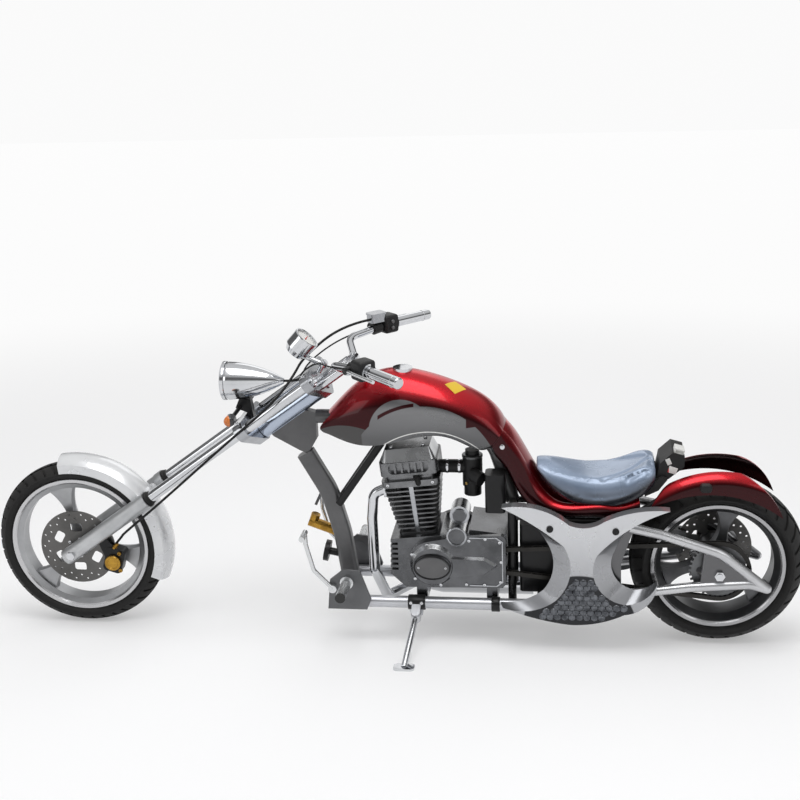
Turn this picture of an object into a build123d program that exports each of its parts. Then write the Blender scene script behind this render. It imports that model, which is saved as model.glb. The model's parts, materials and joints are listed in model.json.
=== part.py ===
"""Chopper motorcycle parked on its side stand, as separate named pieces.

Each piece is drawn with the machine upright: x to the rear, y to the right, z up,
the wheels' middle plane at y = 0 and the floor at z = 0. The whole machine then leans
to its left onto the stand and moves so that its box stands centred on the origin.
"""

import os
from math import asin, atan2, cos, radians, sin, sqrt

from build123d import *

os.makedirs("parts", exist_ok=True)

# Stance
LEAN = 5.0

# Fits: same-body seats, turning pins, and room around moving pieces
SEAT_GAP = 0.3
PIN_GAP = 0.1
MOVE_GAP = 6.0

# Front tyre and rim
FRONT_TYRE_W = 92.0
FRONT_CROWN_R = 50.0
FRONT_SHOULDER_IN = 6.0
FRONT_BEAD_R = 217.0
FRONT_SECTION_H = 63.0
FRONT_RIM_HALF = 33.0
FRONT_HUB_R = 38.0
FRONT_HUB_HALF = 48.0
FRONT_SPOKE_T = 34.0
FRONT_SPOKE_TURN = 105.0
FRONT_AXLE_R = 9.0
FRONT_DISC_R = 125.0

# Rear tyre and rim
REAR_TYRE_W = 160.0
REAR_CROWN_R = 100.0
REAR_SHOULDER_IN = 8.0
REAR_BEAD_R = 191.0
REAR_SECTION_H = 75.0
REAR_RIM_HALF = 60.0
REAR_HUB_R = 48.0
REAR_HUB_LEFT = 90.0
REAR_HUB_RIGHT = 86.0
REAR_SPOKE_T = 44.0
REAR_SPOKE_TURN = 80.0
REAR_AXLE_R = 10.0
REAR_DISC_R = 118.0

# Both wheels
FLANGE_H = 13.0
FLANGE_T = 5.0
BEAD_T = 10.0
TREAD_T = 11.0
WELL_DROP = 14.0
SPOKES = 3
SPOKE_DRAFT = 14.0
DISC_T = 5.0

# Steering head and fork
HEAD_X = -304.3
HEAD_Z = 733.7
FORK_REACH = 844.0
FORK_OFFSET = 45.0
FORK_HALF = 95.0
FORK_TUBE_R = 17.5
SLIDER_R = 26.0
SLIDER_LENGTH = 325.0
SLIDER_TAIL = 30.0
TUBE_IN_SLIDER = 42.0
LOWER_CLAMP_LOW = -138.0
LOWER_CLAMP_HIGH = -104.0
UPPER_CLAMP_LOW = 128.0
UPPER_CLAMP_HIGH = 156.0
CLAMP_BOSS_R = 29.0
STEM_BOSS_R = 34.0
STEM_R = 14.0
HEAD_TUBE_R = 29.0
HEAD_PLAY = 1.5

# Handlebar
BAR_S = 257.0
BAR_UP = 8.6
BAR_R = 12.0
BAR_CLAMP_Y = 45.0
BAR_CLAMP_W = 34.0
BAR_CLAMP_R = 20.0
BAR_CORNER_R = 42.0
BAR_FLAT_Y = 72.0
BAR_KNEE_AHEAD = 28.0
BAR_KNEE_Y = 150.0
BAR_KNEE_RISE = 40.0
BAR_BEND_BACK = 82.0
BAR_BEND_Y = 255.0
BAR_BEND_RISE = 58.0
BAR_END_BACK = 196.0
BAR_END_Y = 374.0
BAR_END_RISE = 57.0
GRIP_R = 17.0
GRIP_FROM = 30.0

# Chain line
CHAIN_Y = -93.0
CHAIN_GAP = 9.0
CHAIN_PLATE_T = 2.5
CHAIN_H = 13.0
CHAIN_PITCH = 15.875
CHAIN_ROLLER_R = 5.0
CHAIN_FREE_FRONT = 18.0
CHAIN_FREE_REAR = 36.0
FRONT_SPROCKET_R = 36.0
REAR_SPROCKET_R = 91.0
SPROCKET_T = 5.0

# Lower frame
RAIL_Y = 110.0
RAIL_Z = 143.0
RAIL_R = 19.0
CROSS_R = 16.0
RAIL_FRONT_X = -130.0
POST_X = 392.0
POST_Y = 70.0
POST_R = 13.0
POST_TOP_Z = 450.0
PIVOT_X = 690.0
PIVOT_Z = 300.0
PIVOT_R = 21.0
SPINE_R = 22.0
SPINE_DROP = 7.7
TAIL_Y = 92.0
TAIL_R = 10.0
TAIL_Z = 422.0

# Swingarm
ARM_LENGTH = 327.5
ARM_Y = 120.0
ARM_R = 15.0
ARM_PLATE_T = 12.0

# Side panels
PANEL_IN_Y = 141.0
PANEL_T = 34.0

# Side stand
STAND_X = 95.0
STAND_Y = -151.0
STAND_Z = 116.0
STAND_FOOT_X = 76.0
STAND_FOOT_OUT = 325.0
STAND_LEG_R = 10.0
STAND_PIN_R = 6.0

# Engine
CRANK_X = 112.0
CRANK_Z = 236.0
CYL_LEAN = 6.0
FIN_LOW = 122.0
FIN_HIGH = 286.0
FINS = 11
FIN_T = 4.5
CYL_CORE_R = 47.0
HEAD_TOP = 402.0
CASE_HALF = 92.0
COVER_T = 36.0
FRONT_SPROCKET_X = CRANK_X + 233
FRONT_SPROCKET_Z = CRANK_Z + 49
STARTER_X = CRANK_X + 113
STARTER_Z = CRANK_Z + 139
STARTER_R = 31.0
STARTER_IN_Y = -22.0
STARTER_LENGTH = 100.0

# Feet
CONTROL_Y = RAIL_Y + RAIL_R + SEAT_GAP
CONTROL_T = 8.0
PEG_X = -121.0
PEG_Z = 218.0
PEG_R = 16.0
PEG_LENGTH = 132.7
PEG_RISE = 3.0
PEG_COLLAR_R = 21.0
PEG_COLLAR_H = 14.0

SPINE_Z = HEAD_Z - SPINE_DROP
RAIL_REAR_X = PIVOT_X
REAR_X = PIVOT_X + ARM_LENGTH
FRONT_TYRE_R = FRONT_BEAD_R + FRONT_SECTION_H
REAR_TYRE_R = REAR_BEAD_R + REAR_SECTION_H
UPRIGHT = 1 / cos(radians(LEAN))
FRONT_Z = FRONT_TYRE_R - FRONT_CROWN_R + FRONT_CROWN_R * UPRIGHT
REAR_Z = REAR_TYRE_R - REAR_CROWN_R + REAR_CROWN_R * UPRIGHT
RAKE = asin((HEAD_Z - FRONT_Z) / sqrt(FORK_REACH**2 + FORK_OFFSET**2)) + atan2(FORK_OFFSET, FORK_REACH)
AX = cos(RAKE)
AZ = sin(RAKE)
FRONT_X = HEAD_X - FORK_REACH * AX - FORK_OFFSET * AZ

pieces = {}


def wheel_plane(x, z, angle=90.0):
    """Half plane of a wheel: x across the tyre, y outward at the angle above the rear."""
    turn = radians(angle)
    return Plane(origin=(x, 0, z), x_dir=(0, 1, 0), z_dir=(sin(turn), 0, -cos(turn)))


def side_plane(y, x=0.0, z=0.0):
    """Side view from the left: x to the rear, y up, drawn outward to the left."""
    return Plane(origin=(x, y, z), x_dir=(1, 0, 0), z_dir=(0, -1, 0))


def head_plane(s):
    """Plane square to the steering axis: x to the right, y to the front and up."""
    return Plane(origin=(HEAD_X + s * AX, 0, HEAD_Z + s * AZ), x_dir=(0, 1, 0), z_dir=(AX, 0, AZ))


def on_head(s, up, y=0.0):
    """Point at a distance along the steering axis, in front of it and to the right."""
    return (HEAD_X + s * AX - up * AZ, y, HEAD_Z + s * AZ + up * AX)


def tube(points, radius, corner):
    """Round bar along straight runs that are joined by tangent arcs."""
    with BuildPart() as pipe:
        with BuildLine() as path:
            if len(points) > 2:
                FilletPolyline(*points, radius=corner)
            else:
                Polyline(*points)
        with BuildSketch(Plane(path.wire() ^ 0)):
            Circle(radius)
        sweep()
    return pipe.part


def pin(start, end, radius):
    """Straight round bar between two points."""
    axis = Vector(*end) - Vector(*start)
    with BuildPart() as bar:
        with BuildSketch(Plane(origin=start, z_dir=axis)):
            Circle(radius)
        extrude(amount=axis.length)
    return bar.part


def on_line(start, direction, t):
    """Point on a line at a distance from its start."""
    return tuple(a + t * b for a, b in zip(start, direction))


def unit(start, end):
    """Direction between two points."""
    step = Vector(*end) - Vector(*start)
    return tuple(step.normalized())


# Wheels
def build_tyre(x, z, radius, width, crown_r, shoulder_in, bead_r, rim_half):
    half = width / 2
    shoulder = half - shoulder_in
    shoulder_r = radius - crown_r + sqrt(crown_r**2 - shoulder**2)
    foot_r = bead_r + FLANGE_H + 1
    middle_r = (foot_r + shoulder_r) / 2
    bead_in = rim_half - BEAD_T
    with BuildPart() as tyre:
        with BuildSketch(wheel_plane(x, z)):
            with BuildLine():
                Line((-rim_half, bead_r), (-rim_half, foot_r))
                ThreePointArc((-rim_half, foot_r), (-half, middle_r), (-shoulder, shoulder_r))
                ThreePointArc((-shoulder, shoulder_r), (0, radius), (shoulder, shoulder_r))
                ThreePointArc((shoulder, shoulder_r), (half, middle_r), (rim_half, foot_r))
                Line((rim_half, foot_r), (rim_half, bead_r))
                Line((rim_half, bead_r), (bead_in, bead_r))
                ThreePointArc((bead_in, bead_r), (0, radius - TREAD_T), (-bead_in, bead_r))
                Line((-bead_in, bead_r), (-rim_half, bead_r))
            make_face()
        revolve(axis=Axis((x, 0, z), (0, 1, 0)))
    return tyre.part


def build_rim(x, z, bead_r, rim_half, hub_r, hub_left, hub_right, spoke_t, turn, bore_r):
    seat_r = bead_r - SEAT_GAP
    face = rim_half + SEAT_GAP
    edge = face + FLANGE_T
    well = rim_half * 0.45
    well_r = seat_r - WELL_DROP
    flange_r = bead_r + FLANGE_H
    inner_r = well_r - 6
    spoke_end = inner_r + 3
    with BuildSketch() as spoke:
        with BuildLine():
            ThreePointArc((hub_r - 6, hub_r * 0.75), (bead_r * 0.6, 19), (spoke_end, 52))
            Line((spoke_end, 52), (spoke_end, -52))
            ThreePointArc((spoke_end, -52), (bead_r * 0.6, -19), (hub_r - 6, -hub_r * 0.75))
            Line((hub_r - 6, -hub_r * 0.75), (hub_r - 6, hub_r * 0.75))
        make_face()
    with BuildPart() as rim:
        with BuildSketch(wheel_plane(x, z)):
            with BuildLine():
                Polyline(
                    (-edge, flange_r - 2), (-edge + 2, flange_r), (-face, flange_r), (-face, seat_r),
                    (-well - 8, seat_r), (-well, well_r), (well, well_r), (well + 8, seat_r), (face, seat_r),
                    (face, flange_r), (edge - 2, flange_r), (edge, flange_r - 2), (edge, flange_r - 12),
                    (edge - 6, flange_r - 18), (well + 10, inner_r), (-well - 10, inner_r),
                    (-edge + 6, flange_r - 18), (-edge, flange_r - 12),
                    close=True,
                )
            make_face()
        revolve(axis=Axis((x, 0, z), (0, 1, 0)))
        with BuildSketch(side_plane(0, x, z)) as star:
            with PolarLocations(0, SPOKES, start_angle=turn):
                add(spoke.sketch)
        extrude(amount=spoke_t / 2, both=True, taper=SPOKE_DRAFT)
        with BuildSketch(side_plane(-hub_left, x, z)):
            Circle(hub_r)
        extrude(amount=-(hub_left + hub_right))
        with BuildSketch(side_plane(0, x, z)):
            Circle(bore_r)
        extrude(amount=hub_left + hub_right, both=True, mode=Mode.SUBTRACT)
    return rim.part


def build_disc(x, z, y, radius, bore_r):
    with BuildPart() as disc:
        with BuildSketch(side_plane(y, x, z)):
            Circle(radius)
            Circle(bore_r, mode=Mode.SUBTRACT)
            with PolarLocations(radius * 0.55, 6, start_angle=30):
                RectangleRounded(28, 40, 8, mode=Mode.SUBTRACT)
            with PolarLocations(radius * 0.91, 18):
                Circle(3.5, mode=Mode.SUBTRACT)
            with PolarLocations(radius * 0.8, 18, start_angle=10):
                Circle(3.5, mode=Mode.SUBTRACT)
        extrude(amount=DISC_T)
    return disc.part


pieces["front_tyre"] = build_tyre(
    FRONT_X, FRONT_Z, FRONT_TYRE_R, FRONT_TYRE_W, FRONT_CROWN_R, FRONT_SHOULDER_IN,
    FRONT_BEAD_R, FRONT_RIM_HALF,
)
pieces["rear_tyre"] = build_tyre(
    REAR_X, REAR_Z, REAR_TYRE_R, REAR_TYRE_W, REAR_CROWN_R, REAR_SHOULDER_IN,
    REAR_BEAD_R, REAR_RIM_HALF,
)
pieces["front_rim"] = build_rim(
    FRONT_X, FRONT_Z, FRONT_BEAD_R, FRONT_RIM_HALF, FRONT_HUB_R, FRONT_HUB_HALF,
    FRONT_HUB_HALF, FRONT_SPOKE_T, FRONT_SPOKE_TURN, FRONT_AXLE_R + PIN_GAP,
)
pieces["rear_rim"] = build_rim(
    REAR_X, REAR_Z, REAR_BEAD_R, REAR_RIM_HALF, REAR_HUB_R, REAR_HUB_LEFT,
    REAR_HUB_RIGHT, REAR_SPOKE_T, REAR_SPOKE_TURN, REAR_AXLE_R + PIN_GAP,
)
pieces["front_disc"] = build_disc(FRONT_X, FRONT_Z, -FRONT_HUB_HALF, FRONT_DISC_R, 20)
pieces["rear_disc"] = build_disc(REAR_X, REAR_Z, REAR_HUB_RIGHT + DISC_T, REAR_DISC_R, 22)

# Rear sprocket with short teeth between the chain's two rows of plates
with BuildPart() as rear_sprocket:
    with BuildSketch(side_plane(-REAR_HUB_LEFT, REAR_X, REAR_Z)):
        Circle(REAR_SPROCKET_R - 9)
        Circle(REAR_AXLE_R + 14, mode=Mode.SUBTRACT)
        with PolarLocations(REAR_SPROCKET_R * 0.6, 6):
            Circle(13, mode=Mode.SUBTRACT)
    extrude(amount=SPROCKET_T)
    with BuildSketch(side_plane(-REAR_HUB_LEFT, REAR_X, REAR_Z)):
        with PolarLocations(REAR_SPROCKET_R - 7, 36):
            Rectangle(10, 6)
    extrude(amount=SPROCKET_T)
pieces["rear_sprocket"] = rear_sprocket.part

# Front axle with its collars
with BuildPart() as front_axle:
    with BuildSketch(side_plane(-FORK_HALF - SLIDER_R - 8, FRONT_X, FRONT_Z)):
        Circle(FRONT_AXLE_R)
    extrude(amount=-2 * (FORK_HALF + SLIDER_R + 8))
    with BuildSketch(side_plane(-FORK_HALF - SLIDER_R - 8, FRONT_X, FRONT_Z)):
        RegularPolygon(14, 6)
    extrude(amount=-8 + SEAT_GAP)
    with BuildSketch(side_plane(FORK_HALF + SLIDER_R + SEAT_GAP, FRONT_X, FRONT_Z)):
        RegularPolygon(14, 6)
    extrude(amount=-8 + SEAT_GAP)
    with BuildSketch(side_plane(-FRONT_HUB_HALF - DISC_T - 0.5, FRONT_X, FRONT_Z)):
        Circle(16)
    extrude(amount=FORK_HALF - SLIDER_R - FRONT_HUB_HALF - DISC_T - 0.5 - SEAT_GAP)
    with BuildSketch(side_plane(FRONT_HUB_HALF + 0.5, FRONT_X, FRONT_Z)):
        Circle(16)
    extrude(amount=-(FORK_HALF - SLIDER_R - FRONT_HUB_HALF - 0.5 - SEAT_GAP))
pieces["front_axle"] = front_axle.part

# Rear axle with its collars and nuts
REAR_AXLE_END = ARM_Y + ARM_PLATE_T / 2 + 14
with BuildPart() as rear_axle:
    with BuildSketch(side_plane(-REAR_AXLE_END, REAR_X, REAR_Z)):
        Circle(REAR_AXLE_R)
    extrude(amount=-2 * REAR_AXLE_END)
    with BuildSketch(side_plane(-ARM_Y - ARM_PLATE_T / 2 - SEAT_GAP, REAR_X, REAR_Z)):
        RegularPolygon(16, 6)
    extrude(amount=10)
    with BuildSketch(side_plane(ARM_Y + ARM_PLATE_T / 2 + SEAT_GAP, REAR_X, REAR_Z)):
        RegularPolygon(16, 6)
    extrude(amount=-10)
    with BuildSketch(side_plane(-REAR_HUB_LEFT - SPROCKET_T - 0.5, REAR_X, REAR_Z)):
        Circle(18)
    extrude(amount=ARM_Y - ARM_PLATE_T / 2 - REAR_HUB_LEFT - SPROCKET_T - 0.5 - SEAT_GAP)
    with BuildSketch(side_plane(REAR_HUB_RIGHT + DISC_T + 0.5, REAR_X, REAR_Z)):
        Circle(18)
    extrude(amount=-(ARM_Y - ARM_PLATE_T / 2 - REAR_HUB_RIGHT - DISC_T - 0.5 - SEAT_GAP))
pieces["rear_axle"] = rear_axle.part

# Fork: upper tubes, sliders and clamps
SLIDER_TOP = SLIDER_LENGTH - FORK_REACH
FORK_SPOTS = ((-FORK_HALF, FORK_OFFSET), (FORK_HALF, FORK_OFFSET))

with BuildPart() as fork_tubes:
    with BuildSketch(head_plane(SLIDER_TOP - TUBE_IN_SLIDER)):
        with Locations(*FORK_SPOTS):
            Circle(FORK_TUBE_R)
    extrude(amount=UPPER_CLAMP_HIGH + 5 - SLIDER_TOP + TUBE_IN_SLIDER)
pieces["fork_tubes"] = fork_tubes.part

with BuildPart() as fork_sliders:
    with BuildSketch(head_plane(-FORK_REACH - SLIDER_TAIL)):
        with Locations(*FORK_SPOTS):
            Circle(SLIDER_R)
    extrude(amount=SLIDER_TOP + FORK_REACH + SLIDER_TAIL)
    with BuildSketch(head_plane(SLIDER_TOP - 26)):
        with Locations(*FORK_SPOTS):
            Circle(SLIDER_R + 2.5)
    extrude(amount=26)
    with BuildSketch(head_plane(SLIDER_TOP - TUBE_IN_SLIDER - 1)):
        with Locations(*FORK_SPOTS):
            Circle(FORK_TUBE_R + SEAT_GAP)
    extrude(amount=TUBE_IN_SLIDER + 1, mode=Mode.SUBTRACT)
    with BuildSketch(side_plane(0, FRONT_X, FRONT_Z)):
        Circle(FRONT_AXLE_R + SEAT_GAP)
    extrude(amount=200, both=True, mode=Mode.SUBTRACT)
pieces["fork_sliders"] = fork_sliders.part

with BuildPart() as triple_clamps:
    with BuildSketch(head_plane(LOWER_CLAMP_LOW)):
        Circle(STEM_BOSS_R)
        with Locations(*FORK_SPOTS):
            Circle(CLAMP_BOSS_R)
        make_hull()
        with Locations(*FORK_SPOTS):
            Circle(FORK_TUBE_R + SEAT_GAP, mode=Mode.SUBTRACT)
    extrude(amount=LOWER_CLAMP_HIGH - LOWER_CLAMP_LOW)
    with BuildSketch(head_plane(LOWER_CLAMP_LOW)):
        Circle(STEM_R)
    extrude(amount=UPPER_CLAMP_HIGH - LOWER_CLAMP_LOW + 4)
    with BuildSketch(head_plane(UPPER_CLAMP_LOW)):
        Circle(STEM_BOSS_R)
        with Locations(*FORK_SPOTS):
            Circle(CLAMP_BOSS_R)
        make_hull()
        Circle(STEM_R + SEAT_GAP, mode=Mode.SUBTRACT)
        with Locations(*FORK_SPOTS):
            Circle(FORK_TUBE_R + SEAT_GAP, mode=Mode.SUBTRACT)
    extrude(amount=UPPER_CLAMP_HIGH - UPPER_CLAMP_LOW)
pieces["triple_clamps"] = triple_clamps.part

# Bar risers from the upper clamp to the handlebar
BAR_X, _, BAR_Z = on_head(BAR_S, BAR_UP)
BAR_KNEE = (BAR_X - BAR_KNEE_AHEAD, BAR_KNEE_Y, BAR_Z + BAR_KNEE_RISE)
BAR_REAR_BEND = (BAR_X + BAR_BEND_BACK, BAR_BEND_Y, BAR_Z + BAR_BEND_RISE)
BAR_END = (BAR_X + BAR_END_BACK, BAR_END_Y, BAR_Z + BAR_END_RISE)
with BuildPart() as bar_risers:
    with BuildSketch(head_plane(UPPER_CLAMP_HIGH + SEAT_GAP)):
        with Locations((-BAR_CLAMP_Y, BAR_UP + 6), (BAR_CLAMP_Y, BAR_UP + 6)):
            Circle(15)
    extrude(amount=BAR_S - UPPER_CLAMP_HIGH - 12)
    for side in (-1, 1):
        with BuildSketch(side_plane(side * BAR_CLAMP_Y, BAR_X, BAR_Z)):
            Circle(BAR_CLAMP_R)
        extrude(amount=BAR_CLAMP_W / 2, both=True)
    with BuildSketch(side_plane(0, BAR_X, BAR_Z)):
        Circle(BAR_R + SEAT_GAP)
    extrude(amount=BAR_CLAMP_Y + BAR_CLAMP_W, both=True, mode=Mode.SUBTRACT)
pieces["bar_risers"] = bar_risers.part


def mirrored(point):
    return (point[0], -point[1], point[2])


BAR_PATH = (
    mirrored(BAR_END), mirrored(BAR_REAR_BEND), mirrored(BAR_KNEE), (BAR_X, -BAR_FLAT_Y, BAR_Z),
    (BAR_X, BAR_FLAT_Y, BAR_Z), BAR_KNEE, BAR_REAR_BEND, BAR_END,
)
pieces["handlebar"] = tube(BAR_PATH, BAR_R, BAR_CORNER_R)

# Grips, switch housings, perches and levers, mirrored left and right
BAR_LENGTH = (Vector(*BAR_END) - Vector(*BAR_REAR_BEND)).length
grips = []
for side, label in ((-1, "left"), (1, "right")):
    bend = (BAR_REAR_BEND[0], side * BAR_REAR_BEND[1], BAR_REAR_BEND[2])
    end = (BAR_END[0], side * BAR_END[1], BAR_END[2])
    knee = (BAR_KNEE[0], side * BAR_KNEE[1], BAR_KNEE[2])
    out = unit(bend, end)
    back = unit(bend, knee)
    ahead = tuple(Vector(*out).cross(Vector(0, 0, -side)).normalized())
    with BuildPart() as grip:
        with BuildSketch(Plane(origin=on_line(bend, out, GRIP_FROM), z_dir=out)):
            Circle(GRIP_R)
        extrude(amount=BAR_LENGTH - GRIP_FROM + 8)
        fillet(grip.edges().filter_by(GeomType.CIRCLE).group_by(Axis.Y)[0 if side < 0 else -1], 6)
        with BuildSketch(Plane(origin=on_line(bend, out, GRIP_FROM - 1), z_dir=out)):
            Circle(BAR_R + SEAT_GAP)
        extrude(amount=BAR_LENGTH - GRIP_FROM + 2, mode=Mode.SUBTRACT)
    grips.append(grip.part)
    perch_at = on_line(bend, back, 44)
    lever_root = on_line(perch_at, ahead, 34)
    lever_bend = on_line(on_line(bend, ahead, 44), out, 4)
    lever_end = on_line(on_line(bend, ahead, 46), out, 112)
    lever = tube((lever_root, lever_bend, lever_end), 5.5, 20)
    with BuildPart() as control:
        with BuildSketch(Plane(origin=on_line(bend, out, 7), z_dir=out)):
            Circle(24)
        extrude(amount=GRIP_FROM - 8)
        with BuildSketch(Plane(origin=on_line(bend, back, 30), z_dir=back)):
            Circle(19)
        extrude(amount=30)
        with BuildSketch(Plane(origin=perch_at, z_dir=ahead)):
            Circle(11)
        extrude(amount=36)
        add(lever)
        with BuildSketch(Plane(origin=on_line(bend, out, -2), z_dir=out)):
            Circle(BAR_R + SEAT_GAP)
        extrude(amount=60, mode=Mode.SUBTRACT)
        with BuildSketch(Plane(origin=on_line(bend, back, 20), z_dir=back)):
            Circle(BAR_R + SEAT_GAP)
        extrude(amount=60, mode=Mode.SUBTRACT)
    pieces["control_" + label] = control.part
with BuildPart() as both_grips:
    for grip_part in grips:
        add(grip_part)
pieces["grips"] = both_grips.part

# Brake reservoir above the right perch
right_back = unit(BAR_REAR_BEND, BAR_KNEE)
right_perch = on_line(BAR_REAR_BEND, right_back, 44)
with BuildPart() as reservoir:
    with BuildSketch(Plane(origin=(right_perch[0], right_perch[1], right_perch[2] + 20.7),
                           x_dir=right_back, z_dir=(0, 0, 1))):
        RectangleRounded(54, 38, 8)
    extrude(amount=24)
    with BuildSketch(Plane(origin=(right_perch[0], right_perch[1], right_perch[2] + 44.7),
                           x_dir=right_back, z_dir=(0, 0, 1))):
        RectangleRounded(58, 42, 9)
    extrude(amount=6)
pieces["brake_reservoir"] = reservoir.part

# Headlight shell, lens, and the bracket down to the lower clamp
LIGHT_AHEAD = 192.7
LIGHT_LENGTH = 185.0
LIGHT_RISE = 100.3
LIGHT_FRONT_X = HEAD_X - LIGHT_AHEAD
LIGHT_TAIL_X = LIGHT_FRONT_X + LIGHT_LENGTH
LIGHT_Z = HEAD_Z + LIGHT_RISE
LIGHT_R = 60.0
LIGHT_TAIL_R = 9.0
LENS_R = LIGHT_R - 6
LENS_H = 12.0
LENS_BALL_R = (LENS_R**2 + LENS_H**2) / (2 * LENS_H)
with BuildPart() as headlight:
    with BuildSketch(Plane.XZ):
        with BuildLine():
            Line((LIGHT_FRONT_X, LIGHT_Z), (LIGHT_FRONT_X, LIGHT_Z + LIGHT_R - 3))
            Line((LIGHT_FRONT_X, LIGHT_Z + LIGHT_R - 3), (LIGHT_FRONT_X + 14, LIGHT_Z + LIGHT_R))
            ThreePointArc(
                (LIGHT_FRONT_X + 14, LIGHT_Z + LIGHT_R), (LIGHT_FRONT_X + 110, LIGHT_Z + LIGHT_R * 0.72),
                (LIGHT_TAIL_X, LIGHT_Z + LIGHT_TAIL_R),
            )
            Line((LIGHT_TAIL_X, LIGHT_Z + LIGHT_TAIL_R), (LIGHT_TAIL_X, LIGHT_Z))
            Line((LIGHT_TAIL_X, LIGHT_Z), (LIGHT_FRONT_X, LIGHT_Z))
        make_face()
    revolve(axis=Axis((0, 0, LIGHT_Z), (1, 0, 0)))
pieces["headlight_shell"] = headlight.part

lens_face = LIGHT_FRONT_X - SEAT_GAP
lens_mid = lens_face - LENS_H + LENS_BALL_R - sqrt(LENS_BALL_R**2 - LENS_R**2 / 4)
with BuildPart() as lens:
    with BuildSketch(Plane.XZ):
        with BuildLine():
            Line((lens_face, LIGHT_Z), (lens_face, LIGHT_Z + LENS_R))
            ThreePointArc(
                (lens_face, LIGHT_Z + LENS_R), (lens_mid, LIGHT_Z + LENS_R / 2),
                (lens_face - LENS_H, LIGHT_Z),
            )
            Line((lens_face - LENS_H, LIGHT_Z), (lens_face, LIGHT_Z))
        make_face()
    revolve(axis=Axis((0, 0, LIGHT_Z), (1, 0, 0)))
pieces["headlight_lens"] = lens.part

# Lamp bracket between the lower clamp and the shell, with the front lamps on its arms
LAMP_Y = 118.0
LAMP_S = -114.6
LAMP_UP = 100.5
LAMP_R = 17.0
LAMP_LENGTH = 36.0
LAMP_X, _, LAMP_Z = on_head(LAMP_S, LAMP_UP)
LIGHT_FOOT_X = LIGHT_FRONT_X + 42
LIGHT_FOOT_Z = LIGHT_Z - LIGHT_R + 4
bracket_arm = pin((LAMP_X, -LAMP_Y, LAMP_Z), (LAMP_X, LAMP_Y, LAMP_Z), 6.5)
with BuildPart() as lamp_bracket:
    with BuildSketch(side_plane(14)):
        with BuildLine():
            Polyline(
                on_head(LOWER_CLAMP_HIGH + SEAT_GAP, HEAD_TUBE_R + MOVE_GAP)[::2],
                on_head(LOWER_CLAMP_HIGH + SEAT_GAP, FORK_OFFSET + CLAMP_BOSS_R + 1)[::2],
                (LAMP_X - 12, LAMP_Z), (LIGHT_FOOT_X, LIGHT_FOOT_Z), (LIGHT_FOOT_X + 35, LIGHT_FOOT_Z),
                close=True,
            )
        make_face()
    extrude(amount=28)
    add(bracket_arm)
    add(headlight.part, mode=Mode.SUBTRACT)
pieces["lamp_bracket"] = lamp_bracket.part

with BuildPart() as front_lamps:
    for side in (-1, 1):
        with BuildSketch(side_plane(side * (LAMP_Y + SEAT_GAP), LAMP_X, LAMP_Z)):
            Circle(LAMP_R)
        extrude(amount=-side * LAMP_LENGTH)
    fillet(front_lamps.edges().group_by(Axis.Y)[0] + front_lamps.edges().group_by(Axis.Y)[-1], LAMP_R * 0.7)
pieces["front_lamps"] = front_lamps.part

# Speedometer cup and its stalk from the upper clamp
SPEEDO_R = 41.0
SPEEDO_BASE = on_head(136.3, 139.0)
SPEEDO_DIR = (0.67, 0.0, 0.742)
speedo_stalk = tube(
    (on_head(UPPER_CLAMP_HIGH + 4.2, FORK_OFFSET), on_head(UPPER_CLAMP_HIGH + 30, FORK_OFFSET + 12),
     on_line(SPEEDO_BASE, SPEEDO_DIR, 2)), 8, 10,
)
with BuildPart() as speedometer:
    with BuildSketch(Plane(origin=SPEEDO_BASE, x_dir=(0, 1, 0), z_dir=SPEEDO_DIR)):
        Circle(SPEEDO_R - 10)
    with BuildSketch(Plane(origin=on_line(SPEEDO_BASE, SPEEDO_DIR, 18), x_dir=(0, 1, 0), z_dir=SPEEDO_DIR)):
        Circle(SPEEDO_R)
    loft(ruled=True)
    with BuildSketch(Plane(origin=on_line(SPEEDO_BASE, SPEEDO_DIR, 18), x_dir=(0, 1, 0), z_dir=SPEEDO_DIR)):
        Circle(SPEEDO_R)
    extrude(amount=44)
    with BuildSketch(Plane(origin=on_line(SPEEDO_BASE, SPEEDO_DIR, 57), x_dir=(0, 1, 0), z_dir=SPEEDO_DIR)):
        Circle(SPEEDO_R - 4)
    extrude(amount=20, mode=Mode.SUBTRACT)
    add(speedo_stalk)
pieces["speedometer"] = speedometer.part

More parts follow.
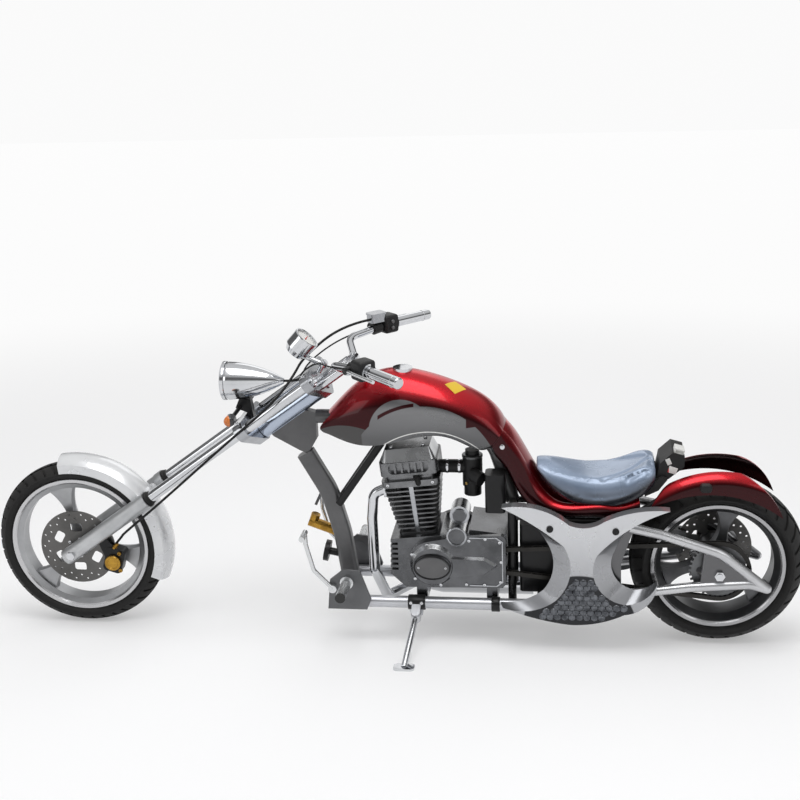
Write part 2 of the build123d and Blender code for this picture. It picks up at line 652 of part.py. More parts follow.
# Front mudguard, hugging the tyre's top and rear, with ears to the sliders
FENDER_FROM = 98.0
FENDER_SWEEP = 121.0
FENDER_AIR = 26.0
FENDER_T = 4.0
FENDER_SIDE = 10.0
FENDER_SKIRT = 50.0
FENDER_R = FRONT_TYRE_R + FENDER_AIR
FENDER_HALF = FRONT_TYRE_W / 2 + FENDER_SIDE
FENDER_EDGE_R = FENDER_R - FENDER_SKIRT
ear_at = on_head(-FORK_REACH + 282, FORK_OFFSET)
with BuildPart() as front_fender:
    with BuildSketch(wheel_plane(FRONT_X, FRONT_Z, FENDER_FROM)):
        with BuildLine():
            Line((-FENDER_HALF, FENDER_EDGE_R), (-FENDER_HALF + 2, FENDER_R - 22))
            ThreePointArc(
                (-FENDER_HALF + 2, FENDER_R - 22), (0, FENDER_R), (FENDER_HALF - 2, FENDER_R - 22))
            Line((FENDER_HALF - 2, FENDER_R - 22), (FENDER_HALF, FENDER_EDGE_R))
            Line((FENDER_HALF, FENDER_EDGE_R), (FENDER_HALF - FENDER_T, FENDER_EDGE_R))
            Line((FENDER_HALF - FENDER_T, FENDER_EDGE_R), (FENDER_HALF - 2 - FENDER_T, FENDER_R - 24))
            ThreePointArc(
                (FENDER_HALF - 2 - FENDER_T, FENDER_R - 24), (0, FENDER_R - FENDER_T),
                (-FENDER_HALF + 2 + FENDER_T, FENDER_R - 24))
            Line((-FENDER_HALF + 2 + FENDER_T, FENDER_R - 24), (-FENDER_HALF + FENDER_T, FENDER_EDGE_R))
            Line((-FENDER_HALF + FENDER_T, FENDER_EDGE_R), (-FENDER_HALF, FENDER_EDGE_R))
        make_face()
    revolve(axis=Axis((FRONT_X, 0, FRONT_Z), (0, 1, 0)), revolution_arc=FENDER_SWEEP)
    for side in (-1, 1):
        with BuildSketch(side_plane(side * (FENDER_HALF - 4), ear_at[0], ear_at[2])):
            Circle(15)
        extrude(amount=-side * (FORK_HALF - SLIDER_R - SEAT_GAP - FENDER_HALF + 4))
pieces["front_fender"] = front_fender.part

# Front caliper around the disc, on a lug beside the left slider
CALIPER_R = 128.0
CALIPER_TURN = -17.0
DISC_MID_Y = -FRONT_HUB_HALF - DISC_T / 2
caliper_x = FRONT_X + CALIPER_R * cos(radians(CALIPER_TURN))
caliper_z = FRONT_Z + CALIPER_R * sin(radians(CALIPER_TURN))
lug_at = on_head(-FORK_REACH + 96, FORK_OFFSET)
with BuildPart() as front_caliper:
    with BuildSketch(side_plane(DISC_MID_Y + 18, caliper_x, caliper_z)):
        with Locations(Location((0, 0, 0), (0, 0, CALIPER_TURN))):
            RectangleRounded(62, 84, 14)
    extrude(amount=38)
    with BuildSketch(side_plane(DISC_MID_Y + DISC_T / 2 + MOVE_GAP, FRONT_X, FRONT_Z)):
        Circle(FRONT_DISC_R + MOVE_GAP)
    extrude(amount=DISC_T + 2 * MOVE_GAP, mode=Mode.SUBTRACT)
    with BuildSketch(side_plane(-FORK_HALF + SLIDER_R + SEAT_GAP + 8)):
        with Locations((caliper_x, caliper_z)):
            Circle(24)
        with Locations((lug_at[0], lug_at[2])):
            Circle(13)
        make_hull()
    extrude(amount=8)
pieces["front_caliper"] = front_caliper.part

# Control cables from each switch housing to the back of the headlight
CABLE_R = 2.5
CABLE_SIDE = 4.5
cables = []
for side in (-1, 1):
    bend = (BAR_REAR_BEND[0], side * BAR_REAR_BEND[1], BAR_REAR_BEND[2])
    back = unit(bend, (BAR_KNEE[0], side * BAR_KNEE[1], BAR_KNEE[2]))
    ahead = tuple(Vector(*back).cross(Vector(0, 0, side)).normalized())
    cable_start = on_line(on_line(bend, back, 60 + SEAT_GAP), ahead, 15.6)
    cable_path = (
        cable_start,
        on_line(on_line(cable_start, back, 72), ahead, 8),
        on_head(200, 84, side * 74),
        on_head(118, 80, side * 36),
        (LIGHT_TAIL_X + 60, side * CABLE_SIDE, LIGHT_Z),
        (LIGHT_TAIL_X + SEAT_GAP, side * CABLE_SIDE, LIGHT_Z),
    )
    cables.append(tube(cable_path, CABLE_R, 18))
with BuildPart() as control_cables:
    for cable in cables:
        add(cable)
pieces["control_cables"] = control_cables.part

# Brake hose from the reservoir, behind the lamp and down outside the left leg
HOSE_R = 4.0
HOSE_OUT_Y = -132.0
HOSE_BEND_S = 364.0
HOSE_LOW_S = 194.0
hose_start = on_line(right_perch, right_back, 27.4)
hose_path = (
    (hose_start[0], hose_start[1], hose_start[2] + 34),
    (-150, 140, 972),
    on_head(120, 100, 80),
    on_head(108, 88, -60),
    on_head(30, 66, HOSE_OUT_Y),
    on_head(-170, 50, HOSE_OUT_Y),
    on_head(HOSE_BEND_S - FORK_REACH, 18, HOSE_OUT_Y),
    on_head(HOSE_LOW_S - FORK_REACH, 4, -118),
    (caliper_x + 34, DISC_MID_Y - 14, caliper_z + 84),
    (caliper_x + 6, DISC_MID_Y - 12, caliper_z + 52),
)
pieces["brake_hose"] = tube(hose_path, HOSE_R, 22)

# Steering head with its gusset and the top of the spine
GUSSET_X = HEAD_X + 89
with BuildPart() as frame_head:
    with BuildSketch(head_plane(LOWER_CLAMP_HIGH + HEAD_PLAY)):
        Circle(HEAD_TUBE_R)
    extrude(amount=UPPER_CLAMP_LOW - LOWER_CLAMP_HIGH - 2 * HEAD_PLAY)
    with BuildSketch(side_plane(15)):
        with BuildLine():
            Polyline(
                on_head(-84, -12)[::2], on_head(40, -12)[::2], (GUSSET_X, SPINE_Z + 10),
                (GUSSET_X, HEAD_Z - 84), (GUSSET_X - 30, HEAD_Z - 134), (GUSSET_X - 57, HEAD_Z - 122),
                on_head(-84, -34)[::2], close=True,
            )
        make_face()
    extrude(amount=30)
    with BuildSketch(head_plane(LOWER_CLAMP_LOW)):
        Circle(STEM_R + PIN_GAP)
    extrude(amount=UPPER_CLAMP_HIGH - LOWER_CLAMP_LOW, mode=Mode.SUBTRACT)
pieces["frame_head"] = frame_head.part

# Spine under the tank, down to the cross tube behind the engine
SPINE_PATH = (
    (GUSSET_X + SEAT_GAP, 0, SPINE_Z - 6), (POST_X - 222, 0, SPINE_Z - 8), (POST_X - 60, 0, POST_TOP_Z + 190),
    (POST_X, 0, POST_TOP_Z),
)
spine_bar = tube(SPINE_PATH, SPINE_R, 90)
spine_cross = pin((POST_X, -POST_Y - POST_R, POST_TOP_Z), (POST_X, POST_Y + POST_R, POST_TOP_Z), POST_R)
with BuildPart() as frame_spine:
    add(spine_bar)
    add(spine_cross)
pieces["frame_spine"] = frame_spine.part

# Wide front down tube
DOWN_DEPTH = 56.0
DOWN_W = 44.0
DOWN_PATH = (
    (HEAD_X + 48, 0, HEAD_Z - 134),
    (RAIL_FRONT_X - 56, 0, RAIL_Z + 327),
    (RAIL_FRONT_X - 20, 0, RAIL_Z + 187),
    (RAIL_FRONT_X + 4, 0, RAIL_Z),
)
down_saddle = pin((RAIL_FRONT_X, -RAIL_Y, RAIL_Z), (RAIL_FRONT_X, RAIL_Y, RAIL_Z), CROSS_R + SEAT_GAP)
with BuildPart() as frame_down_tube:
    with BuildLine() as down_line:
        FilletPolyline(*DOWN_PATH, radius=260)
    with BuildSketch(Plane(origin=DOWN_PATH[0], x_dir=(0, 1, 0), z_dir=unit(DOWN_PATH[0], DOWN_PATH[1]))):
        RectangleRounded(DOWN_W, DOWN_DEPTH, 12)
    sweep()
    add(frame_head.part, mode=Mode.SUBTRACT)
    add(down_saddle, mode=Mode.SUBTRACT)
pieces["frame_down_tube"] = frame_down_tube.part

# Stand pivot, foot and pin axis: the pin is square to the leg and swings it to the rear
FOOT_Y = -STAND_FOOT_OUT * cos(radians(LEAN))
FOOT_Z = STAND_FOOT_OUT * sin(radians(LEAN))
STAND_PIVOT = (STAND_X, STAND_Y, STAND_Z)
STAND_FOOT = (STAND_FOOT_X, FOOT_Y, FOOT_Z)
STAND_DIR = unit(STAND_PIVOT, STAND_FOOT)
STAND_AXIS = tuple(Vector(0, STAND_DIR[2], -STAND_DIR[1]).normalized())
foot_up = (0, sin(radians(LEAN)), cos(radians(LEAN)))
stand_pin_bar = pin(
    on_line(STAND_PIVOT, STAND_AXIS, -20), on_line(STAND_PIVOT, STAND_AXIS, 20), STAND_PIN_R)

# Lower cradle: two rails, cross tubes, pivot plates and the stand bracket
front_cross = pin((RAIL_FRONT_X, -RAIL_Y, RAIL_Z), (RAIL_FRONT_X, RAIL_Y, RAIL_Z), CROSS_R)
rear_cross = pin((RAIL_REAR_X, -RAIL_Y, RAIL_Z), (RAIL_REAR_X, RAIL_Y, RAIL_Z), CROSS_R)
left_rail = pin((RAIL_FRONT_X - 22, -RAIL_Y, RAIL_Z), (RAIL_REAR_X + 10, -RAIL_Y, RAIL_Z), RAIL_R)
right_rail = pin((RAIL_FRONT_X - 22, RAIL_Y, RAIL_Z), (RAIL_REAR_X + 10, RAIL_Y, RAIL_Z), RAIL_R)
with BuildPart() as frame_cradle:
    add(front_cross)
    add(rear_cross)
    add(left_rail)
    add(right_rail)
    for side in (-1, 1):
        with BuildSketch(side_plane(side * 68.0)):
            with BuildLine():
                Polyline(
                    (RAIL_REAR_X - 34, RAIL_Z), (RAIL_REAR_X + 10, RAIL_Z), (PIVOT_X + 34, PIVOT_Z - 20),
                    (PIVOT_X + 34, PIVOT_Z + 36), (PIVOT_X - 34, PIVOT_Z + 36), close=True,
                )
            make_face()
        extrude(amount=side * 16)
    with BuildSketch(side_plane(0, PIVOT_X, PIVOT_Z)):
        Circle(PIVOT_R + SEAT_GAP)
    extrude(amount=90, both=True, mode=Mode.SUBTRACT)
    with BuildSketch(side_plane(-RAIL_Y + 6)):
        with BuildLine():
            Polyline((STAND_X - 30, RAIL_Z + 12), (STAND_X + 26, RAIL_Z + 12), (STAND_X + 18, STAND_Z - 10),
                     (STAND_X - 18, STAND_Z - 10), close=True)
        make_face()
    extrude(amount=23)
    for start in (-20, 13):
        lug_at = on_line(STAND_PIVOT, STAND_AXIS, start)
        with BuildSketch(Plane(origin=lug_at, x_dir=(1, 0, 0), z_dir=STAND_AXIS)):
            Circle(14)
            with Locations((0, 34)):
                Circle(14)
            make_hull()
        extrude(amount=7)
    add(stand_pin_bar)
pieces["frame_cradle"] = frame_cradle.part

# Black struts: braces beside the spine and posts behind the engine
BRACE_R = 12.0
BRACE_TOP_Y = SPINE_R + BRACE_R + SEAT_GAP
BRACE_LOW_Y = DOWN_W / 2 + BRACE_R + SEAT_GAP
struts = []
for side in (-1, 1):
    brace_low = (RAIL_FRONT_X - 22, side * BRACE_LOW_Y, RAIL_Z + 297)
    brace_top = (RAIL_FRONT_X + 172, side * BRACE_TOP_Y, SPINE_Z - 6)
    post_low = (POST_X, side * POST_Y, RAIL_Z)
    struts.append(pin(brace_low, brace_top, BRACE_R))
    struts.append(pin(post_low, (POST_X, side * POST_Y, POST_TOP_Z - POST_R - 1), POST_R))
    struts.append(pin(post_low, (POST_X, side * (RAIL_Y - RAIL_R - 1), RAIL_Z), POST_R))
with BuildPart() as frame_struts:
    for bar in struts:
        add(bar)
pieces["frame_struts"] = frame_struts.part

# Tail tubes that carry the seat, the panels and the rear mudguards
TAIL_END_Y = 84.0
TAIL_END_R = REAR_TYRE_R + 28.8
TAIL_END_X = REAR_X - 112.5
TAIL_END_Z = REAR_Z + sqrt(TAIL_END_R**2 - (TAIL_END_X - REAR_X) ** 2)
tail_bars = []
for side in (-1, 1):
    tail_bars.append(tube(
        ((POST_X + POST_R + SEAT_GAP, side * POST_Y, TAIL_Z), (POST_X + 38, side * POST_Y, TAIL_Z),
         (POST_X + 98, side * TAIL_Y, TAIL_Z), (TAIL_END_X - 175, side * TAIL_Y, TAIL_Z),
         (TAIL_END_X, side * TAIL_END_Y, TAIL_END_Z)), TAIL_R, 50))
with BuildPart() as frame_tail:
    for bar in tail_bars:
        add(bar)
pieces["frame_tail"] = frame_tail.part


def body_section(top, bottom, half, low_share, waist):
    """Rounded section of the body between its crest and its lower edge."""
    mid_x = (top[0] + bottom[0]) / 2
    mid_z = (top[1] + bottom[1]) / 2
    rise = Vector(top[0] - bottom[0], 0, top[1] - bottom[1])
    h = rise.length / 2
    up = rise.normalized()
    plane = Plane(origin=(mid_x, 0, mid_z), x_dir=(0, 1, 0), z_dir=Vector(0, 1, 0).cross(up))
    return plane, h, half, low_share, waist


def body_loft(rows):
    with BuildPart() as body:
        for top, bottom, half, low, waist in rows:
            plane, h, w, low_share, mid = body_section(top, bottom, half, low, waist)
            with BuildSketch(plane):
                with BuildLine():
                    Line((-w * low_share, -h), (w * low_share, -h))
                    ThreePointArc((w * low_share, -h), (w, h * mid), (w * 0.6, h * 0.74))
                    ThreePointArc((w * 0.6, h * 0.74), (0, h), (-w * 0.6, h * 0.74))
                    ThreePointArc((-w * 0.6, h * 0.74), (-w, h * mid), (-w * low_share, -h))
                make_face()
        loft()
    return body.part


# Tank: crest point, lower edge point, half width, lower width share, height of the widest line
TANK_ROWS = (
    ((-204, 712), (-236, 668), 34, 0.85, -0.2),
    ((-118, 800), (-142, 672), 78, 0.85, -0.2),
    ((-22, 866), (-36, 656), 106, 0.85, -0.2),
    ((110, 868), (104, 686), 113, 0.85, -0.2),
    ((236, 826), (212, 682), 106, 0.85, -0.2),
    ((372, 708), (330, 650), 92, 0.85, -0.2),
)
tank_solid = body_loft(TANK_ROWS)
TUNNEL_HALF = 50.0
tunnel_top = SPINE_PATH[0][2] + SPINE_R + SEAT_GAP
with BuildPart() as fuel_tank:
    add(tank_solid)
    with BuildSketch(side_plane(0)):
        with BuildLine():
            Polyline((-300, tunnel_top), (180, tunnel_top), (400, 640), (400, 500), (-300, 500), close=True)
        make_face()
    extrude(amount=TUNNEL_HALF, both=True, mode=Mode.SUBTRACT)
pieces["fuel_tank"] = fuel_tank.part

# Body behind the tank, sweeping down to the seat pan
BODY_ROWS = (
    ((372.3, 707.8), (330.3, 649.8), 92, 0.85, -0.2),
    ((420, 645), (366, 596), 88, 0.85, -0.2),
    ((462, 568), (402, 528), 90, 0.85, -0.2),
    ((506, 506), (452, 462), 98, 0.85, -0.2),
    ((570, 462), (556, 436), 108, 0.85, -0.2),
    ((670, 462), (670, 436), 112, 0.85, -0.2),
    ((776, 492), (782, 452), 106, 0.85, -0.2),
)
body_solid = body_loft(BODY_ROWS)
with BuildPart() as seat_body:
    add(body_solid)
    with BuildSketch(side_plane(0)):
        with BuildLine():
            Polyline((300, 690), (352, 668), (POST_X + 36, 500), (POST_X + 36, 400), (300, 400), close=True)
        make_face()
    extrude(amount=SPINE_R + 5, both=True, mode=Mode.SUBTRACT)
    for bar in tail_bars:
        add(bar, mode=Mode.SUBTRACT)
pieces["seat_body"] = seat_body.part

# Filler cap on the tank's crest
with BuildPart() as fuel_cap:
    with BuildSketch(Plane(origin=(60, 0, 855))):
        Circle(30)
    extrude(amount=26)
    add(fuel_tank.part, mode=Mode.SUBTRACT)
pieces["fuel_cap"] = fuel_cap.part

# Seat cushion: station, half width, underside, side edge and middle heights
SEAT_ROWS = (
    (468, 46, 566, 586, 596),
    (520, 86, 512, 572, 584),
    (600, 108, 474, 556, 558),
    (700, 116, 474, 560, 556),
    (780, 110, 504, 590, 582),
    (822, 84, 540, 592, 598),
)
with BuildPart() as seat_loft:
    for x, w, low, edge, mid in SEAT_ROWS:
        with BuildSketch(Plane(origin=(x, 0, 0), x_dir=(0, 1, 0), z_dir=(1, 0, 0))):
            with BuildLine():
                Line((-w * 0.9, low), (w * 0.9, low))
                ThreePointArc((w * 0.9, low), (w, (low + edge) / 2), (w * 0.82, edge))
                ThreePointArc((w * 0.82, edge), (0, mid), (-w * 0.82, edge))
                ThreePointArc((-w * 0.82, edge), (-w, (low + edge) / 2), (-w * 0.9, low))
            make_face()
    loft()
with BuildPart() as seat:
    add(seat_loft.part)
    add(seat_body.part, mode=Mode.SUBTRACT)
pieces["seat"] = seat.part

# Open electrics tray behind the seat
TRAY_X = REAR_X - 225.5
TRAY_Z = TAIL_Z + 78
TRAY_HALF = TAIL_Y - TAIL_R - SEAT_GAP
BOX_HALF = 62.0
with BuildPart() as tail_tray:
    with BuildSketch(side_plane(TRAY_HALF, TRAY_X, TRAY_Z)):
        with BuildLine():
            Polyline((0, 0), (40, 20), (66, 55), (50, 62), (0, 30), close=True)
        make_face()
    extrude(amount=2 * TRAY_HALF)
    with BuildSketch(side_plane(BOX_HALF, TRAY_X, TRAY_Z)):
        with BuildLine():
            Polyline((34, 45), (70, 50), (116, 90), (116, 124), (80, 134), (44, 100), close=True)
        make_face()
    extrude(amount=2 * BOX_HALF)
    add(seat.part, mode=Mode.SUBTRACT)
pieces["tail_tray"] = tail_tray.part

# Rear mudguard halves beside the tyre
GUARD_IN = REAR_TYRE_W / 2 + 27
GUARD_T = 5.0
low_r = REAR_TYRE_R - 61
knee_r = REAR_TYRE_R + 2
guard_front = (REAR_X - 209.5, REAR_Z + 203.6)
guard_rear = (REAR_X + 178.5, REAR_Z + 181.6)
for side, label in ((-1, "left"), (1, "right")):
    lip = (side * (GUARD_IN - 31), knee_r + 43)
    rolled_lip = (side * (GUARD_IN - 31), knee_r + 48)
    knee_out = (side * (GUARD_IN + 1 + GUARD_T), knee_r)
    with BuildPart() as guard:
        with BuildSketch(wheel_plane(REAR_X, REAR_Z, 150)):
            with BuildLine():
                Line((side * GUARD_IN, low_r), (side * (GUARD_IN + 1), knee_r))
                ThreePointArc((side * (GUARD_IN + 1), knee_r), (side * (GUARD_IN - 8), knee_r + 28), lip)
                Line(lip, rolled_lip)
                ThreePointArc(rolled_lip, (side * (GUARD_IN - 4), knee_r + 32), knee_out)
                Line(knee_out, (side * (GUARD_IN + GUARD_T), low_r))
                Line((side * (GUARD_IN + GUARD_T), low_r), (side * GUARD_IN, low_r))
            make_face()
        revolve(axis=Axis((REAR_X, 0, REAR_Z), (0, 1, 0)), revolution_arc=112)
        with BuildSketch(side_plane(0)):
            with BuildLine():
                ThreePointArc(guard_front, (REAR_X - 42.5, REAR_Z + 323.6), guard_rear)
                ThreePointArc(guard_rear, (REAR_X - 7.5, REAR_Z + 253.6), guard_front)
            make_face()
        extrude(amount=160, both=True, mode=Mode.INTERSECT)
    pieces["rear_guard_" + label] = guard.part

# Rear lamps on the mudguard halves
with BuildPart() as rear_lamps:
    for side in (-1, 1):
        guard_face = side * (GUARD_IN + GUARD_T + 1 + SEAT_GAP)
        with BuildSketch(side_plane(guard_face, REAR_X - 49.5, REAR_Z + 279.6)):
            RectangleRounded(36, 26, 11)
        extrude(amount=-side * 18)
    fillet(rear_lamps.edges().group_by(Axis.Y)[0] + rear_lamps.edges().group_by(Axis.Y)[-1], 7)
pieces["rear_lamps"] = rear_lamps.part


# Side panels: left to right along the top, then around the two hollows
def panel_face(cut):
    """Outline of a side panel; the cut draws the hollows deeper into the panel."""
    return (
        ((366, 494), (452, 496), (567, 442)),
        ((567, 442), (618, 434), (669, 454)),
        ((669, 454), (770, 488), (863, 492)),
        ((863, 492), (748 - cut * 0.7, 424 - cut * 0.35), (703 - cut, 345)),
        ((703 - cut, 345), (705 - cut, 262 - cut * 0.4), (765 - cut * 0.5, 220 - cut * 0.7)),
        ((765 - cut * 0.5, 220 - cut * 0.7), (803 - cut * 0.1, 229 - cut * 0.42), (830, 252)),
        ((830, 252), (804, 186), (735, 150)),
        ((735, 150), (650, 119), (568, 112)),
        ((568, 112), (470, 130), (357, 168)),
        ((357, 168), (440 + cut * 0.1, 181 - cut * 0.5), (490 + cut * 0.7, 212 - cut * 0.4)),
        ((490 + cut * 0.7, 212 - cut * 0.4), (520 + cut, 290), (500 + cut, 372)),
        ((500 + cut, 372), (452 + cut * 0.7, 437 - cut * 0.3), (366, 494)),
    )


PANEL_LIP = 52.0
for side, label in ((-1, "left"), (1, "right")):
    with BuildPart() as panel:
        for depth, cut in ((0, 0.0), (PANEL_T, PANEL_LIP)):
            with BuildSketch(side_plane(side * (PANEL_IN_Y + depth))):
                with BuildLine():
                    for start, middle, end in panel_face(cut):
                        ThreePointArc(start, middle, end)
                make_face()
        loft(ruled=True)
        for x, z in ((507, TAIL_Z), (703, TAIL_Z)):
            with BuildSketch(side_plane(side * (PANEL_IN_Y + 2), x, z)):
                Circle(8)
            extrude(amount=side * (PANEL_IN_Y + 2 - TAIL_Y - TAIL_R - SEAT_GAP))
    pieces["side_panel_" + label] = panel.part

# Battery box between the posts and the pivot plates
with BuildPart() as battery_box:
    with BuildSketch(Plane(origin=(0, 0, 172))):
        with Locations((500, 0)):
            RectangleRounded(170, 150, 14)
    extrude(amount=226)
    with BuildSketch(Plane(origin=(0, 0, RAIL_Z - 5))):
        with Locations((500, 0)):
            Rectangle(60, 2 * (RAIL_Y - RAIL_R - SEAT_GAP))
    extrude(amount=40)
pieces["battery_box"] = battery_box.part

# Swingarm: two bent tubes a side, meeting in a tip, and the pivot tube
ARM_TIP = (REAR_X + 140.5, REAR_Z - 43.4)
arm_bars = []
for side in (-1, 1):
    y = side * ARM_Y
    tip = (ARM_TIP[0], y, ARM_TIP[1])
    upper_bar = (
        (PIVOT_X + 58, y, PIVOT_Z + 114),
        (PIVOT_X + 150, y, PIVOT_Z + 94),
        (REAR_X + 4.5, y, REAR_Z + 67.6),
        tip,
    )
    lower_bar = (
        (PIVOT_X + 22, y, PIVOT_Z - 110),
        (REAR_X - 87.5, y, REAR_Z - 44.4),
        (REAR_X + 92.5, y, REAR_Z - 29.4),
        tip,
    )
    arm_bars.append(tube(upper_bar, ARM_R, 110))
    arm_bars.append(tube(lower_bar, ARM_R, 80))
pivot_tube = pin((PIVOT_X, -ARM_Y, PIVOT_Z), (PIVOT_X, ARM_Y, PIVOT_Z), PIVOT_R)
with BuildPart() as swingarm:
    for bar in arm_bars:
        add(bar)
    add(pivot_tube)
    for side in (-1, 1):
        with Locations((ARM_TIP[0], side * ARM_Y, ARM_TIP[1])):
            Sphere(ARM_R)
        with BuildSketch(side_plane(side * ARM_Y, PIVOT_X, PIVOT_Z)):
            with BuildLine():
                Polyline(
                    (-22, -20), (-14, 30), (56, 126), (72, 118), (34, 0), (36, -118), (10, -118), close=True)
            make_face()
        extrude(amount=ARM_PLATE_T / 2, both=True)
        with BuildSketch(side_plane(side * ARM_Y, REAR_X, REAR_Z)):
            with BuildLine():
                Polyline((-57.5, -44.4), (-45.5, 83.6), (16.5, 63.6), (64.5, 19.6), (92.5, -26.4), close=True)
            make_face()
        extrude(amount=ARM_PLATE_T / 2, both=True)
    with BuildSketch(side_plane(0, REAR_X, REAR_Z)):
        Circle(REAR_AXLE_R + SEAT_GAP)
    extrude(amount=200, both=True, mode=Mode.SUBTRACT)
pieces["swingarm"] = swingarm.part

# Engine: the cylinder's own axis, then the crankcase with its covers
CX = -sin(radians(CYL_LEAN))
CZ = cos(radians(CYL_LEAN))


def cylinder_plane(s):
    """Plane square to the cylinder: x to the rear, y to the right."""
    return Plane(origin=(CRANK_X + s * CX, 0, CRANK_Z + s * CZ), x_dir=(CZ, 0, -CX), z_dir=(CX, 0, CZ))


deck = cylinder_plane(FIN_LOW - SEAT_GAP)
deck_rear = deck.from_local_coords((72, 0, 0))
deck_front = deck.from_local_coords((-84, 0, 0))
right_cover = Plane(origin=(CRANK_X + 98, CASE_HALF, CRANK_Z + 44), x_dir=(-1, 0, 0), z_dir=(0, 1, 0))
with BuildPart() as crankcase:
    with BuildSketch(side_plane(CASE_HALF, CRANK_X, CRANK_Z)):
        with BuildLine():
            Polyline(
                (-52, -50), (252, -46), (264, -22), (264, 136), (150, 150), (145, 106), (84, 106),
                (deck_rear.X - CRANK_X, deck_rear.Z - CRANK_Z),
                (deck_front.X - CRANK_X, deck_front.Z - CRANK_Z), (-100, -4), close=True,
            )
        make_face()
    extrude(amount=2 * CASE_HALF)
    with BuildSketch(side_plane(-CASE_HALF, CRANK_X, CRANK_Z)):
        with Locations((38, 38)):
            Circle(78)
        with Locations((154, 123), (246, 123), (246, -19), (154, -19)):
            Circle(16)
        make_hull()
    extrude(amount=COVER_T - 16)
    with BuildSketch(side_plane(-CASE_HALF - COVER_T + 16, CRANK_X, CRANK_Z)):
        with Locations((36, 38)):
            Circle(70)
    extrude(amount=16, taper=30)
    with BuildSketch(side_plane(-CASE_HALF - COVER_T + 16, CRANK_X, CRANK_Z)):
        with BuildLine():
            Polyline((60, 70), (196, 66), (240, 40), (196, 8), (60, -8), close=True)
        make_face()
        fillet(vertices(), 7)
    extrude(amount=12, taper=24)
    with BuildSketch(side_plane(-CASE_HALF - COVER_T, CRANK_X, CRANK_Z)):
        with Locations((36, 38)):
            Ellipse(56, 40)
    extrude(amount=8)
    with BuildSketch(right_cover):
        Circle(88)
        with Locations((90, -18)):
            Circle(66)
        make_hull()
    extrude(amount=24)
    with BuildSketch(right_cover.offset(24)):
        Circle(76)
    extrude(amount=12, taper=30)
    with BuildSketch(side_plane(CHAIN_Y + 13)):
        with Locations((FRONT_SPROCKET_X + 30, FRONT_SPROCKET_Z)):
            Rectangle(150, 108)
    extrude(amount=26, mode=Mode.SUBTRACT)
    for x in (CRANK_X - 2, CRANK_X + 218):
        with BuildSketch(Plane(origin=(x, 0, RAIL_Z - 6))):
            Rectangle(34, 2 * (RAIL_Y - RAIL_R - SEAT_GAP))
        extrude(amount=CRANK_Z - 44 - RAIL_Z + 6)
    with BuildSketch(side_plane(STARTER_IN_Y + 2, STARTER_X, STARTER_Z)):
        Circle(STARTER_R + SEAT_GAP)
    extrude(amount=160, mode=Mode.SUBTRACT)
    for row in range(6):
        with BuildSketch(side_plane(CASE_HALF + 2)):
            with Locations((CRANK_X - 100, CRANK_Z + 12 + row * 17)):
                Rectangle(52, 8)
        extrude(amount=2 * CASE_HALF + 4, mode=Mode.SUBTRACT)
pieces["crankcase"] = crankcase.part

# Cylinder with tapering fins, leaning a little forward
FIN_STEP = (FIN_HIGH - FIN_LOW - FIN_T) / (FINS - 1)
with BuildPart() as cylinder:
    with BuildSketch(cylinder_plane(FIN_LOW)):
        Circle(CYL_CORE_R)
    extrude(amount=FIN_HIGH - FIN_LOW)
    for fin in range(FINS):
        share = fin / (FINS - 1)
        with BuildSketch(cylinder_plane(FIN_LOW + fin * FIN_STEP)):
            RectangleRounded(124 + 54 * share, 118 + 28 * share, 20)
        extrude(amount=FIN_T)
pieces["cylinder"] = cylinder.part

HEAD_W = 148.0
POCKET_S = 58.0
POCKET_L = 126.0
POCKET_H = 34.0
POCKET_DEEP = 16.0
with BuildPart() as cylinder_head:
    with BuildSketch(cylinder_plane(FIN_HIGH + SEAT_GAP)):
        RectangleRounded(184, HEAD_W + 2, 22)
    extrude(amount=16)
    with BuildSketch(cylinder_plane(FIN_HIGH + 16)):
        RectangleRounded(150, 126, 18)
    extrude(amount=18)
    with BuildSketch(cylinder_plane(FIN_HIGH + 34)):
        RectangleRounded(182, HEAD_W, 22)
    extrude(amount=44)
    with BuildSketch(cylinder_plane(FIN_HIGH + 78)):
        RectangleRounded(172, 136, 22)
    extrude(amount=HEAD_TOP - FIN_HIGH - 78, taper=22)
    for side in (-1, 1):
        pocket_at = cylinder_plane(FIN_HIGH + POCKET_S).from_local_coords((0, side * HEAD_W / 2, 0))
        pocket = Plane(origin=pocket_at, x_dir=(CZ, 0, -CX), z_dir=(0, side, 0))
        with BuildSketch(pocket):
            RectangleRounded(POCKET_L, POCKET_H, POCKET_H / 2 - 1)
        extrude(amount=-POCKET_DEEP, mode=Mode.SUBTRACT)
        with BuildSketch(pocket.offset(-POCKET_DEEP - 1)):
            with GridLocations(POCKET_L / 6, 0, 5, 1):
                Rectangle(6, POCKET_H)
        extrude(amount=POCKET_DEEP - 4)
pieces["cylinder_head"] = cylinder_head.part

# Starter behind the cylinder
with BuildPart() as starter:
    with BuildSketch(side_plane(STARTER_IN_Y, STARTER_X, STARTER_Z)):
        Circle(STARTER_R)
    extrude(amount=STARTER_LENGTH)
    with BuildSketch(side_plane(STARTER_IN_Y, STARTER_X + 8, STARTER_Z + 58)):
        Circle(STARTER_R - 1)
    extrude(amount=STARTER_LENGTH - 30)
    with BuildSketch(side_plane(STARTER_IN_Y - STARTER_LENGTH + 30, STARTER_X + 8, STARTER_Z + 58)):
        Circle(STARTER_R - 10)
    extrude(amount=8)
pieces["starter_motor"] = starter.part

